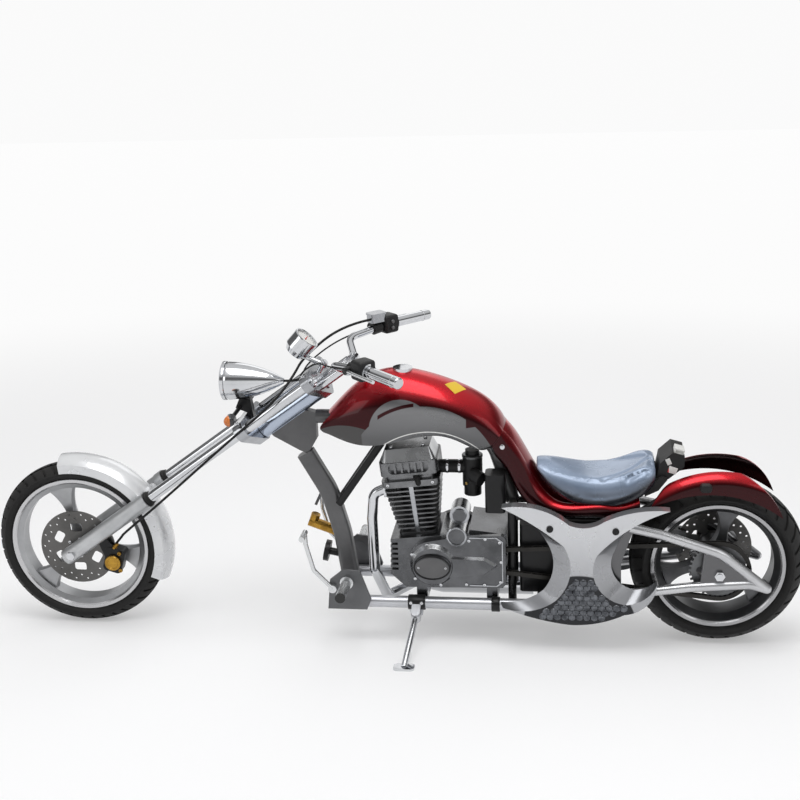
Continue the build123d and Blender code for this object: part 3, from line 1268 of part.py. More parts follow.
# Exhaust: header down the front, under the rail, silencer low on the right
SILENCER_X = 150.0
SILENCER_Y = 150.0
SILENCER_Z = 88.0
SILENCER_R = 34.0
SILENCER_LENGTH = 300.0
PORT_S = 258.0
PORT_FACE = 86.6
port = cylinder_plane(PORT_S).from_local_coords((-PORT_FACE, 0, 0))
header_path = (
    (port.X, 0, port.Z),
    (CRANK_X - 158, 0, CRANK_Z + 226),
    (CRANK_X - 166, 0, CRANK_Z + 144),
    (CRANK_X - 164, 0, CRANK_Z - 36),
    (CRANK_X - 132, 40, SILENCER_Z),
    (SILENCER_X - 90, SILENCER_Y, SILENCER_Z),
    (SILENCER_X - 30, SILENCER_Y, SILENCER_Z),
)
header = tube(header_path, 17, 30)
with BuildPart() as exhaust:
    with BuildSketch(Plane(origin=port, x_dir=(0, 1, 0), z_dir=(-CZ, 0, CX))):
        RectangleRounded(74, 42, 12)
    extrude(amount=8)
    add(header)
    with BuildSketch(Plane(origin=(SILENCER_X - 40, SILENCER_Y, SILENCER_Z), z_dir=(1, 0, 0))):
        Circle(SILENCER_R - 8)
    with BuildSketch(Plane(origin=(SILENCER_X, SILENCER_Y, SILENCER_Z), z_dir=(1, 0, 0))):
        Circle(SILENCER_R)
    loft(ruled=True)
    with BuildSketch(Plane(origin=(SILENCER_X, SILENCER_Y, SILENCER_Z), z_dir=(1, 0, 0))):
        Circle(SILENCER_R)
    extrude(amount=SILENCER_LENGTH)
    with BuildSketch(Plane(origin=(SILENCER_X + SILENCER_LENGTH, SILENCER_Y, SILENCER_Z), z_dir=(1, 0, 0))):
        Circle(SILENCER_R - 14)
    extrude(amount=-60, mode=Mode.SUBTRACT)
pieces["exhaust"] = exhaust.part

# Carburettor with its manifold and the filter box
INTAKE_Z = CRANK_Z + 324
CARB_X = CRANK_X + 156
manifold = pin((CARB_X - 118, 0, INTAKE_Z), (CARB_X - 22, 0, INTAKE_Z), 21)
with BuildPart() as carburettor:
    add(manifold)
    with BuildSketch(Plane(origin=(CARB_X, 0, INTAKE_Z - 90))):
        Circle(27)
    extrude(amount=30)
    with BuildSketch(Plane(origin=(CARB_X, 0, INTAKE_Z - 60))):
        Circle(31)
    extrude(amount=92)
    with BuildSketch(Plane(origin=(CARB_X, 0, INTAKE_Z + 32))):
        Circle(22)
    extrude(amount=24)
    with BuildSketch(Plane(origin=(CARB_X, -30, INTAKE_Z - 15), z_dir=(0.7, -0.5, -0.2))):
        Circle(22)
    extrude(amount=40)
    add(cylinder_head.part, mode=Mode.SUBTRACT)
pieces["carburettor"] = carburettor.part

with BuildPart() as air_box:
    with BuildSketch(Plane(origin=(0, 0, POST_TOP_Z - 10))):
        with Locations((POST_X - 50, -58)):
            RectangleRounded(62, 62, 14)
    extrude(amount=124)
    add(carburettor.part, mode=Mode.SUBTRACT)
pieces["air_box"] = air_box.part


# Chain: two rows of plates round both sprockets, rollers on the straight runs
def chain_loop(grow):
    """Side outline round both sprockets at a distance from the pitch line."""
    with BuildSketch(side_plane(0)) as loop:
        with Locations((FRONT_SPROCKET_X, FRONT_SPROCKET_Z)):
            Circle(FRONT_SPROCKET_R + grow)
        with Locations((REAR_X, REAR_Z)):
            Circle(REAR_SPROCKET_R + grow)
        make_hull()
    return loop.sketch


def chain_run(side):
    """First and last point of a straight run: side 1 is the upper run, -1 the lower."""
    front = Vector(FRONT_SPROCKET_X, FRONT_SPROCKET_Z)
    rear = Vector(REAR_X, REAR_Z)
    along = (rear - front).normalized()
    dip = (FRONT_SPROCKET_R - REAR_SPROCKET_R) / (rear - front).length
    out = along * dip + Vector(-along.Y, along.X) * (side * sqrt(1 - dip**2))
    return front + out * FRONT_SPROCKET_R, rear + out * REAR_SPROCKET_R


chain_pins = []
for side in (1, -1):
    run_start, run_end = chain_run(side)
    run = run_end - run_start
    count = int((run.length - CHAIN_FREE_FRONT - CHAIN_FREE_REAR) / (2 * CHAIN_PITCH))
    for link in range(count + 1):
        spot = run_start + run.normalized() * (CHAIN_FREE_FRONT + link * 2 * CHAIN_PITCH)
        chain_pins.append((spot.X, spot.Y))

chain_outer = chain_loop(CHAIN_H / 2)
chain_inner = chain_loop(-CHAIN_H / 2)
with BuildPart() as chain_rows:
    for edge in (CHAIN_GAP / 2, -CHAIN_GAP / 2 - CHAIN_PLATE_T):
        with BuildSketch(side_plane(CHAIN_Y + edge + CHAIN_PLATE_T)):
            add(chain_outer)
            add(chain_inner, mode=Mode.SUBTRACT)
        extrude(amount=CHAIN_PLATE_T)
    with BuildSketch(side_plane(CHAIN_Y + CHAIN_GAP / 2 + 1)):
        with Locations(*chain_pins):
            Circle(CHAIN_ROLLER_R)
    extrude(amount=CHAIN_GAP + 2)
pieces["drive_chain"] = chain_rows.part

with BuildPart() as front_sprocket:
    with BuildSketch(side_plane(CHAIN_Y + CHAIN_GAP / 2 - SEAT_GAP, FRONT_SPROCKET_X, FRONT_SPROCKET_Z)):
        Circle(FRONT_SPROCKET_R - 2)
    extrude(amount=CHAIN_GAP - 2 * SEAT_GAP)
    with BuildSketch(side_plane(CHAIN_Y + 13, FRONT_SPROCKET_X, FRONT_SPROCKET_Z)):
        Circle(12)
    extrude(amount=13)
pieces["front_sprocket"] = front_sprocket.part

# Rear caliper over the right disc, hung from the arm
REAR_CALIPER_TURN = 171.0
rear_caliper_x = REAR_X + 116 * cos(radians(REAR_CALIPER_TURN))
rear_caliper_z = REAR_Z + 116 * sin(radians(REAR_CALIPER_TURN))
with BuildPart() as rear_caliper:
    with BuildSketch(side_plane(ARM_Y - ARM_PLATE_T / 2 - SEAT_GAP, rear_caliper_x, rear_caliper_z)):
        with Locations(Location((0, 0, 0), (0, 0, REAR_CALIPER_TURN))):
            RectangleRounded(50, 80, 12)
    extrude(amount=42)
    with BuildSketch(side_plane(REAR_HUB_RIGHT + DISC_T + MOVE_GAP, REAR_X, REAR_Z)):
        Circle(REAR_DISC_R + MOVE_GAP)
    extrude(amount=DISC_T + 2 * MOVE_GAP, mode=Mode.SUBTRACT)
    with BuildSketch(side_plane(ARM_Y - ARM_R - 1.5)):
        with Locations((rear_caliper_x, rear_caliper_z)):
            Circle(20)
        with Locations((REAR_X, REAR_Z)):
            Circle(28)
        make_hull()
        with Locations((REAR_X, REAR_Z)):
            Circle(18 + SEAT_GAP, mode=Mode.SUBTRACT)
    extrude(amount=6)
pieces["rear_caliper"] = rear_caliper.part

# Foot controls: plate, peg and lever on each side
for side, label in ((-1, "left"), (1, "right")):
    face = CONTROL_Y + CONTROL_T
    lever_y = side * (face + 9)
    peg_dir = (0, side * cos(radians(PEG_RISE)), sin(radians(PEG_RISE)))
    toe_path = ((-165, lever_y, 200), (-222, lever_y, 262), (-243, lever_y, 350), (-243, lever_y, 388))
    toe = tube(toe_path, 7, 30)
    toe_peg = pin((-243, side * (face + 4), 388), (-243, side * (face + 62), 388), 9)
    with BuildPart() as foot_control:
        with BuildSketch(side_plane(side * CONTROL_Y)):
            with BuildLine():
                Polyline(
                    (-184, 126), (-174, 226), (-130, 262), (-78, 256), (-46, 160), (-60, 126), close=True)
            make_face()
        extrude(amount=-side * CONTROL_T)
        for radius, length in ((PEG_COLLAR_R, PEG_COLLAR_H), (PEG_R, PEG_LENGTH)):
            with BuildSketch(Plane(origin=(PEG_X, side * CONTROL_Y, PEG_Z), x_dir=(1, 0, 0), z_dir=peg_dir)):
                Circle(radius)
            extrude(amount=length)
        with BuildSketch(side_plane(side * (CONTROL_Y + 1), -165, 200)):
            Circle(13)
        extrude(amount=-side * (CONTROL_T + 14))
        add(toe)
        if side < 0:
            add(toe_peg)
        else:
            with BuildSketch(Plane(origin=(-250, lever_y + 24, 380), x_dir=(0, 1, 0), z_dir=(-0.9, 0, 0.43))):
                RectangleRounded(74, 46, 8)
            extrude(amount=9)
    pieces["foot_control_" + label] = foot_control.part

# Rear brake pump ahead of the down tube on the right
pump_bar = pin((-276, 84, 330), (-176, 84, 292), 17)
pump_cap = pin((-262, 84, 326), (-252, 84, 354), 15)
pump_rod = pin((-180, 84, 293), (-158, 106, 222), 6)
pump_foot = pin((-158, 98, 222), (-158, CONTROL_Y - SEAT_GAP, 222), 9)
with BuildPart() as brake_pump:
    add(pump_bar)
    add(pump_cap)
    add(pump_rod)
    add(pump_foot)
pieces["brake_pump"] = brake_pump.part

# Horn ahead of the down tube
with BuildPart() as horn:
    with BuildSketch(Plane(origin=(-196, 0, 262), z_dir=(-0.98, 0, 0.2))):
        Circle(34)
    extrude(amount=16)
    with BuildSketch(Plane(origin=(-196, 0, 262), z_dir=(0.98, 0, -0.2))):
        Circle(12)
    extrude(amount=60)
    add(frame_down_tube.part, mode=Mode.SUBTRACT)
pieces["horn"] = horn.part

# Side stand: leg, pin boss and foot, turning about a pin square to the leg
leg = pin(STAND_PIVOT, on_line(STAND_FOOT, foot_up, 4), STAND_LEG_R)
with BuildPart() as stand_leg:
    add(leg)
    with BuildSketch(Plane(origin=on_line(STAND_PIVOT, STAND_AXIS, -12), z_dir=STAND_AXIS)):
        Circle(15)
    extrude(amount=24)
    with BuildSketch(Plane(origin=STAND_FOOT, x_dir=(1, 0, 0), z_dir=foot_up)):
        RectangleRounded(64, 44, 14)
    extrude(amount=7)
    with BuildSketch(Plane(origin=on_line(STAND_FOOT, foot_up, -40), x_dir=(1, 0, 0), z_dir=foot_up)):
        Rectangle(300, 300)
    extrude(amount=40, mode=Mode.SUBTRACT)
    with BuildSketch(Plane(origin=on_line(STAND_PIVOT, STAND_AXIS, -40), z_dir=STAND_AXIS)):
        Circle(STAND_PIN_R + PIN_GAP)
    extrude(amount=80, mode=Mode.SUBTRACT)
pieces["stand_leg"] = stand_leg.part

# Lean the machine onto its stand and centre its box on the origin
stance = Rot(LEAN, 0, 0)
leaned = {name: stance * shape for name, shape in pieces.items()}
boxes = [shape.bounding_box() for shape in leaned.values()]
SHIFT_X = -(min(b.min.X for b in boxes) + max(b.max.X for b in boxes)) / 2
SHIFT_Y = -(min(b.min.Y for b in boxes) + max(b.max.Y for b in boxes)) / 2
SHIFT_Z = -min(b.min.Z for b in boxes)
for name, shape in leaned.items():
    piece = Pos(SHIFT_X, SHIFT_Y, SHIFT_Z) * shape
    piece.label = name
    export_step(piece, "parts/" + name + ".step")
print("pieces", len(leaned), "shift", SHIFT_X, SHIFT_Y, SHIFT_Z)
for axis_name in "XYZ":
    low = min(getattr(b.min, axis_name) for b in boxes)
    high = max(getattr(b.max, axis_name) for b in boxes)
    print("box", axis_name, round(high - low))
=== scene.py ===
import json
import math

import bpy
from mathutils import Matrix, Vector


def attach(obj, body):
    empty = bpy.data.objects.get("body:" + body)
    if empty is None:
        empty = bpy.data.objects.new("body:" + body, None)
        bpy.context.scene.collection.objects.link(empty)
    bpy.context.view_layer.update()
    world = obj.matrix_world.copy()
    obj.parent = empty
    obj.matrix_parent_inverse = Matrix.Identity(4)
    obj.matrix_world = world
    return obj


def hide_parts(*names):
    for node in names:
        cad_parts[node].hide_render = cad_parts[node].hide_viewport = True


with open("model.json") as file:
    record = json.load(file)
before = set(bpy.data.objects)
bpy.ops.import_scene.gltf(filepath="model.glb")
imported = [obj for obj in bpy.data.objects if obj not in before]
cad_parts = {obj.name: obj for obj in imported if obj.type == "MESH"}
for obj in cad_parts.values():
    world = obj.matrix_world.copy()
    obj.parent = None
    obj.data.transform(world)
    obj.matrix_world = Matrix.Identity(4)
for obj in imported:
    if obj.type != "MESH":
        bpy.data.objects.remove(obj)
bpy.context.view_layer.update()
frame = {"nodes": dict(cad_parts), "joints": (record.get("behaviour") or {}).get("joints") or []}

# The floor and the light: a pale studio floor that runs out to a pale horizon, a grey band of
# surroundings above it for the bright metal to mirror, a broad soft lamp overhead and three weaker
# ones ahead, behind and on the far side.
bpy.context.scene.view_settings.view_transform = "Standard"


def begun(name, add, **settings):
    """Starts a piece from one of Blender's own shapes."""
    bpy.ops.object.select_all(action="DESELECT")
    add(**settings)
    bpy.context.object.name = name
    return bpy.context.object


def fill(tree, node, **inputs):
    """Fills a node's inputs with values or links. A colour of three numbers is opaque."""
    for key, value in inputs.items():
        socket = node.inputs[key.replace("_", " ")]
        if isinstance(value, bpy.types.NodeSocket):
            tree.links.new(value, socket)
        elif socket.type == "RGBA":
            socket.default_value = (*value, 1)
        else:
            socket.default_value = value


def put(tree, kind, settings=None, **inputs):
    """Adds a shader node with its options and inputs."""
    made = tree.nodes.new("ShaderNode" + kind)
    for key, value in (settings or {}).items():
        setattr(made, key, value)
    fill(tree, made, **inputs)
    return made


def sums(tree, operation, *values):
    """A maths node fed with values or links, in order."""
    made = put(tree, "Math", {"operation": operation})
    for socket, value in zip(made.inputs, values):
        if isinstance(value, bpy.types.NodeSocket):
            tree.links.new(value, socket)
        else:
            socket.default_value = value
    return made.outputs[0]


def tint(tree, share, first, second):
    """Mixes two colours by a share, each a value or a link."""
    made = put(tree, "Mix", {"data_type": "RGBA"})
    for index, value in ((0, share), (6, first), (7, second)):
        if isinstance(value, bpy.types.NodeSocket):
            tree.links.new(value, made.inputs[index])
        else:
            made.inputs[index].default_value = (*value, 1) if index else value
    return made.outputs[2]


def product(tree, *values):
    """The product of values or links. Of masks it is 1 only where all of them are."""
    made = values[0]
    for value in values[1:]:
        made = sums(tree, "MULTIPLY", made, value)
    return made


def ramp(tree, value, start, end, low=0.0, high=1.0, **settings):
    """Goes from a low to a high value while an input goes from its start to its end."""
    return put(tree, "MapRange", settings, Value=value, From_Min=start, From_Max=end, To_Min=low,
               To_Max=high).outputs[0]


def place_of(tree):
    """Where a point lies, in the object's own metres."""
    return put(tree, "TexCoord").outputs["Object"]


def new_material(name):
    """A material with its own principled shader and nothing else."""
    made = bpy.data.materials.new(name)
    made.use_nodes = True
    return made, made.node_tree, made.node_tree.nodes["Principled BSDF"]


floor = begun("studio_floor", bpy.ops.mesh.primitive_grid_add, x_subdivisions=4, y_subdivisions=4, size=80)
HORIZON = 0.96
floor_paint, tree, shader = new_material("studio_floor_paint")
spots = put(tree, "TexNoise", Scale=3.0)
floor_tone = tint(tree, spots.outputs[0], (0.62, 0.62, 0.63), (0.66, 0.66, 0.66))
away = put(tree, "VectorMath", {"operation": "LENGTH"}, Vector=place_of(tree))
distant = ramp(tree, away.outputs["Value"], 1.6, 7.0, interpolation_type="SMOOTHSTEP")
floor_tone = tint(tree, distant, floor_tone, (0.0, 0.0, 0.0))
glow = ramp(tree, distant, 0, 1, 0.34, HORIZON)
rays = put(tree, "LightPath")
seen = sums(tree, "MAXIMUM", rays.outputs["Is Camera Ray"], rays.outputs["Is Glossy Ray"])
seen = sums(tree, "MAXIMUM", seen, rays.outputs["Is Transmission Ray"])
fill(tree, shader, Base_Color=floor_tone, Emission_Strength=product(tree, seen, glow),
     Emission_Color=(1, 1, 1), Roughness=0.95, Specular_IOR_Level=0.1)
floor.data.materials.append(floor_paint)

world = bpy.data.worlds.new("studio_dome")
bpy.context.scene.world = world
world.use_nodes = True
tree = world.node_tree
dome = put(tree, "TexCoord")
height = put(tree, "SeparateXYZ", Vector=dome.outputs["Generated"])
band = put(tree, "ValToRGB", Fac=height.outputs["Z"])
BANDS = ((0.0, HORIZON), (0.16, HORIZON), (0.25, 0.16), (0.46, 0.12), (0.62, 0.62), (1.0, 0.8))
while len(band.color_ramp.elements) < len(BANDS):
    band.color_ramp.elements.new(0.5)
for stop, (place, level) in zip(band.color_ramp.elements, BANDS):
    stop.position = place
    stop.color = (level, level, level, 1)
tree.links.new(band.outputs["Color"], tree.nodes["Background"].inputs["Color"])
tree.nodes["Background"].inputs["Strength"].default_value = 1.0

LAMPS = (
    ("overhead_lamp", (0.2, -1.2, 4.2), (0.0, 0.0, 0.4), 2.6, 75.0),
    ("front_lamp", (-3.6, -2.6, 2.2), (-0.3, 0.0, 0.5), 1.6, 16.0),
    ("rear_lamp", (3.4, -2.2, 2.4), (0.5, 0.0, 0.4), 1.6, 14.0),
    ("far_lamp", (0.0, 3.8, 3.0), (0.0, 0.0, 0.4), 2.4, 18.0),
)
for name, place, aim, size, power in LAMPS:
    bpy.ops.object.light_add(type="AREA", location=place)
    lamp = bpy.context.object
    lamp.name = name
    lamp.data.size = size
    lamp.data.energy = power
    lamp.rotation_euler = (Vector(aim) - Vector(place)).to_track_quat("-Z", "Y").to_euler()

# The camera: a long lens at standing height, left of the machine and a little behind its middle. It
# looks slightly down and is rolled by a little over a degree.
CAMERA_PLACE = Vector((0.597, -3.9834, 1.7235))
CAMERA_YAW = math.radians(7.71)
CAMERA_DIP = math.radians(13.28)
CAMERA_ROLL = math.radians(-1.38)
bpy.ops.object.camera_add(location=CAMERA_PLACE)
camera = bpy.context.object
camera.data.lens = 60.7
camera.data.sensor_width = 36
ahead = Vector((
    -math.sin(CAMERA_YAW) * math.cos(CAMERA_DIP),
    math.cos(CAMERA_YAW) * math.cos(CAMERA_DIP),
    -math.sin(CAMERA_DIP),
))
level = Vector((math.cos(CAMERA_YAW), math.sin(CAMERA_YAW), 0))
upward = level.cross(ahead)
right = math.cos(CAMERA_ROLL) * level + math.sin(CAMERA_ROLL) * upward
upward = -math.sin(CAMERA_ROLL) * level + math.cos(CAMERA_ROLL) * upward
camera.rotation_euler = Matrix((right, upward, -ahead)).transposed().to_euler()
bpy.context.scene.camera = camera

# Frame: bent and welded steel tube. The spine and the down tube are sprayed grey, the lower cradle
# silver, the struts and the tail black. Each finish carries smudges, a fine grain and a little dust
# where it looks up, from one shared group.


def facing_of(tree):
    """The direction that a point faces, as a link."""
    return put(tree, "NewGeometry").outputs["Normal"]


def bumped(tree, height, strength, depth):
    """A relief in the shading, for grain too fine to model."""
    return put(tree, "Bump", Height=height, Strength=strength, Distance=depth).outputs[0]


def looks_up(tree):
    """1 where a face looks up, 0 where it stands, -1 where it looks down."""
    return put(tree, "SeparateXYZ", Vector=facing_of(tree)).outputs["Z"]


surface = bpy.data.node_groups.new("surface_marks", "ShaderNodeTree")
for name, start in (("Smudge Scale", 6.0), ("Grain Scale", 400.0)):
    surface.interface.new_socket(name, in_out="INPUT", socket_type="NodeSocketFloat").default_value = start
for name in ("Smudge", "Grain", "Dust"):
    surface.interface.new_socket(name, in_out="OUTPUT", socket_type="NodeSocketFloat")
group_in = surface.nodes.new("NodeGroupInput")
group_out = surface.nodes.new("NodeGroupOutput")
spot = place_of(surface)
smudge = put(surface, "TexNoise", Vector=spot, Scale=group_in.outputs["Smudge Scale"], Detail=4.0,
             Roughness=0.6)
grain = put(surface, "TexNoise", Vector=spot, Scale=group_in.outputs["Grain Scale"], Detail=2.0)
smudge_mask = ramp(surface, smudge.outputs[0], 0.3, 0.7)
dust_mask = product(surface, ramp(surface, looks_up(surface), 0.35, 1.0), smudge_mask)
for made, name in ((smudge_mask, "Smudge"), (grain.outputs[0], "Grain"), (dust_mask, "Dust")):
    surface.links.new(made, group_out.inputs[name])


def marked(tree, smudge_scale, grain_scale):
    """The shared marks at a material's own scales: its smudges, its grain and its dust."""
    made = tree.nodes.new("ShaderNodeGroup")
    made.node_tree = surface
    made.inputs["Smudge Scale"].default_value = smudge_scale
    made.inputs["Grain Scale"].default_value = grain_scale
    return tuple(made.outputs)


DUST = (0.5, 0.48, 0.45)


def finish(name, colour, shade, metallic, rough, grain_scale=400.0, bump=0.02, coat=0.0, dust=0.12,
           smudge_scale=7.0, gloss=0.5, crown=None):
    """A worked surface: two tones by its smudges, roughness between two values, grain and dust.
    A crown colour, if given, is a painted highlight on faces that slope up, standing in for the sky that they
    mirror."""
    made, tree, shader = new_material(name)
    smudge, grain, dusty = marked(tree, smudge_scale, grain_scale)
    tones = tint(tree, smudge, colour, shade)
    if crown:
        # Painted highlight: faces that slope up, but not flat ones, take the crown colour.
        rise = looks_up(tree)
        painted_highlight_mask = product(tree, ramp(tree, rise, 0.12, 0.45), ramp(tree, rise, 0.95, 0.7))
        tones = tint(tree, painted_highlight_mask, tones, crown)
    tones = tint(tree, product(tree, dusty, dust), tones, DUST)
    fill(tree, shader, Base_Color=tones, Roughness=ramp(tree, smudge, 0, 1, *rough),
         Normal=bumped(tree, grain, bump, 0.001), Metallic=metallic, Specular_IOR_Level=gloss,
         Coat_Weight=coat, Coat_Roughness=0.04)
    return made


def dress(material, *names):
    """Gives CAD nodes a finish."""
    for name in names:
        data = frame["nodes"][name].data
        data.materials.clear()
        data.materials.append(material)


GREY = (0.135, 0.135, 0.138)
GREY_SHADE = (0.10, 0.10, 0.103)
grey_paint = finish("grey_paint", GREY, GREY_SHADE, 0.5, (0.35, 0.5), 700, 0.05, 0.2)
silver_paint = finish("silver_paint", (0.60, 0.61, 0.64), (0.50, 0.51, 0.54), 0.75, (0.28, 0.38), 900, 0.03,
                      0.6)
black_paint = finish("black_paint", (0.006, 0.006, 0.0065), (0.011, 0.011, 0.012), 0.0, (0.24, 0.42), 500,
                     0.03, 0.1, 0.04, gloss=0.25)
dress(grey_paint, "frame_spine", "frame_down_tube")
dress(silver_paint, "frame_cradle")
dress(black_paint, "frame_struts", "frame_tail")

# Steering head: a turned and polished tube with a bluish sheen, welded to a grey painted gusset. The
# machine is drawn upright, x to the rear, y to its right and z up from the floor, and then leans to
# its left until the stand's foot carries it.
LEAN = math.radians(5)
REAR_HUB = Vector((1.0175, 0, 0.26638))
FRONT_HUB = Vector((-1.0175, 0, 0.28019))
rear_spin = next(joint for joint in frame["joints"] if joint["name"] == "rear_wheel_spin")
TILT = Matrix.Rotation(LEAN, 4, "X")
STANCE = Matrix.Translation(Vector(rear_spin["pos_m"]) - TILT @ REAR_HUB) @ TILT
UPRIGHT = STANCE.inverted()
HEAD = Vector((-0.3043, 0, 0.7337))
FORK_REACH = 0.844
FORK_AHEAD = 0.045
RAKE = math.asin((HEAD.z - FRONT_HUB.z) / math.hypot(FORK_REACH, FORK_AHEAD))
RAKE += math.atan2(FORK_AHEAD, FORK_REACH)
HEAD_AXIS = Vector((math.cos(RAKE), 0, math.sin(RAKE)))
HEAD_AHEAD = Vector((-math.sin(RAKE), 0, math.cos(RAKE)))


def flank(tree):
    """How far along, across and up a point lies on the upright machine, in metres."""
    level = put(tree, "Mapping", Vector=place_of(tree), Location=UPRIGHT.translation,
                Rotation=UPRIGHT.to_euler())
    parts = put(tree, "SeparateXYZ", Vector=level.outputs[0])
    return parts.outputs["X"], parts.outputs["Y"], parts.outputs["Z"]


def beyond(tree, value, start, soft=0.0009):
    """1 past a limit and 0 before it."""
    return ramp(tree, value, start - soft, start + soft)


head_finish, tree, shader = new_material("steering_head_finish")
x, y, z = flank(tree)
smudge, grain, _ = marked(tree, 9.0, 700.0)
ahead_of = sums(tree, "ADD", product(tree, sums(tree, "SUBTRACT", x, HEAD.x), HEAD_AHEAD.x),
                product(tree, sums(tree, "SUBTRACT", z, HEAD.z), HEAD_AHEAD.z))
away = sums(tree, "SQRT", sums(tree, "ADD", sums(tree, "POWER", ahead_of, 2.0), sums(tree, "POWER", y, 2.0)))
TUBE_R = 0.0298
tube = beyond(tree, product(tree, away, -1.0), -TUBE_R, 0.0003)
grey = tint(tree, smudge, GREY, GREY_SHADE)
fill(tree, shader, Base_Color=tint(tree, tube, grey, (0.42, 0.47, 0.56)),
     Roughness=ramp(tree, tube, 0, 1, 0.42, 0.14), Metallic=ramp(tree, tube, 0, 1, 0.5, 1.0),
     Normal=bumped(tree, grain, 0.04, 0.0006))
dress(head_finish, "frame_head")

# Rail straps: a black steel strap on each lower rail, and a broad saddle with two socket screws where
# the stand's bracket meets the left one. Turned pieces are one section spun about its axis.
chrome = finish("chrome", (0.68, 0.69, 0.71), (0.58, 0.59, 0.61), 1.0, (0.06, 0.16), 300, 0.01, 0.0, 0.05)


def settle(piece, body, slot, *materials):
    """Leans a piece that was drawn upright, dresses it and fixes it to a body."""
    if bpy.context.object and bpy.context.object.mode != "OBJECT":
        bpy.ops.object.mode_set(mode="OBJECT")
    piece.data.transform(STANCE @ piece.matrix_world)
    piece.matrix_world = Matrix.Identity(4)
    piece.data.materials.clear()
    for material in materials:
        piece.data.materials.append(material)
    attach(piece, body)
    return piece


def pick(piece, test):
    """Selects in edit mode the faces whose middle and normal pass a test."""
    bpy.ops.object.select_all(action="DESELECT")
    bpy.context.view_layer.objects.active = piece
    piece.select_set(True)
    bpy.ops.object.mode_set(mode="EDIT")
    bpy.ops.mesh.select_mode(type="FACE")
    bpy.ops.mesh.select_all(action="DESELECT")
    bpy.ops.object.mode_set(mode="OBJECT")
    for face in piece.data.polygons:
        face.select = bool(test(face.center, face.normal))
    bpy.ops.object.mode_set(mode="EDIT")


def edit_all():
    """Opens the active piece for editing, all of it selected."""
    bpy.ops.object.mode_set(mode="EDIT")
    bpy.ops.mesh.select_all(action="SELECT")


def face_out():
    """Turns all faces of the piece that is edited outward."""
    bpy.ops.mesh.select_all(action="SELECT")
    bpy.ops.mesh.normals_make_consistent(inside=False)


def pull(*move):
    """Draws the selected faces out along a move, with walls behind them."""
    bpy.ops.mesh.extrude_region_move(TRANSFORM_OT_translate={"value": move})


def soften(piece, degrees):
    """Smooth shading with sharp edges kept above an angle."""
    bpy.ops.object.mode_set(mode="OBJECT")
    bpy.ops.object.select_all(action="DESELECT")
    piece.select_set(True)
    bpy.context.view_layer.objects.active = piece
    bpy.ops.object.shade_smooth_by_angle(angle=math.radians(degrees))


def aimed(place, axis):
    """Matrix that puts a piece drawn about Z at a place, along an axis."""
    return Matrix.Translation(place) @ Vector(axis).to_track_quat("Z", "Y").to_matrix().to_4x4()


def revolved(name, outline, steps, middle, axis, gap):
    """A ring: a closed outline of places, spun about an axis, with doubled places joined."""
    ring = begun(name, bpy.ops.mesh.primitive_circle_add, vertices=len(outline), radius=0.1)
    for vertex, place in zip(ring.data.vertices, outline):
        vertex.co = place
    edit_all()
    bpy.ops.mesh.spin(steps=steps, angle=math.tau, center=middle, axis=axis)
    bpy.ops.mesh.select_all(action="SELECT")
    bpy.ops.mesh.remove_doubles(threshold=gap)
    face_out()
    bpy.ops.object.mode_set(mode="OBJECT")
    return ring


def turned(name, section, place=(0, 0, 0), axis=(0, 0, 1), steps=32):
    """A ring or plug from a closed section of height and radius, at a place, along an axis."""
    piece = revolved(name, [(radius, 0, high) for high, radius in section], steps, (0, 0, 0), (0, 0, 1),
                     0.00002)
    soften(piece, 35)
    piece.data.transform(aimed(place, axis))
    return piece


def socket_screw(radius, height):
    """A socket screw's head: a cylinder with a bevelled rim and a sunk six-sided socket."""
    screw = begun("screw", bpy.ops.mesh.primitive_cylinder_add, vertices=12, radius=radius, depth=height,
                  location=(0, 0, height / 2))
    bpy.ops.object.transform_apply(location=True)
    pick(screw, lambda middle, normal: normal.z > 0.9)
    bpy.ops.mesh.bevel(offset=radius * 0.15, segments=2)
    bpy.ops.object.mode_set(mode="OBJECT")
    pick(screw, lambda middle, normal: normal.z > 0.99 and middle.z > height * 0.99)
    bpy.ops.mesh.inset(thickness=radius * 0.32, depth=0)
    pull(0, 0, -height * 0.5)
    soften(screw, 35)
    return screw


def spread(model, name, spots):
    """Copies of one model at places with axes, each with its own mesh, joined as one piece."""
    made = []
    for place, axis in spots:
        copy = bpy.data.objects.new(name, model.data.copy())
        bpy.context.scene.collection.objects.link(copy)
        copy.data.transform(aimed(place, axis))
        made.append(copy)
    bpy.data.objects.remove(model)
    bpy.ops.object.select_all(action="DESELECT")
    for copy in made:
        copy.select_set(True)
    bpy.context.view_layer.objects.active = made[0]
    bpy.ops.object.join()
    made[0].name = name
    return made[0]


def screws(name, radius, height, spots, body="chassis", slot="chrome", material=chrome):
    """Socket screws of one size at places with axes, fixed to a body as one piece."""
    settle(spread(socket_screw(radius, height), name, spots), body, slot, material)


RAIL_HALF = 0.110
RAIL_HIGH = 0.143
STRAP_X = 0.342
SADDLE_X = 0.095
SADDLE_R = 0.0238
SCREW_RISE = 0.35
strap = turned("rail_strap", [(-0.013, 0.0192), (-0.013, 0.0222), (-0.011, 0.0235), (0.011, 0.0235),
                              (0.013, 0.0222), (0.013, 0.0192)], steps=36)
strap_spots = [(Vector((STRAP_X, y, RAIL_HIGH)), (1, 0, 0)) for y in (-RAIL_HALF, RAIL_HALF)]
settle(spread(strap, "rail_straps", strap_spots), "chassis", "black_paint", black_paint)
saddle = turned("stand_saddle", [(-0.027, 0.0192), (-0.027, 0.0226), (-0.025, 0.0240), (0.025, 0.0240),
                                 (0.027, 0.0226), (0.027, 0.0192)],
                Vector((SADDLE_X, -RAIL_HALF, RAIL_HIGH)), (1, 0, 0), 40)
settle(saddle, "chassis", "black_paint", black_paint)
out = Vector((0, -math.cos(SCREW_RISE), math.sin(SCREW_RISE)))
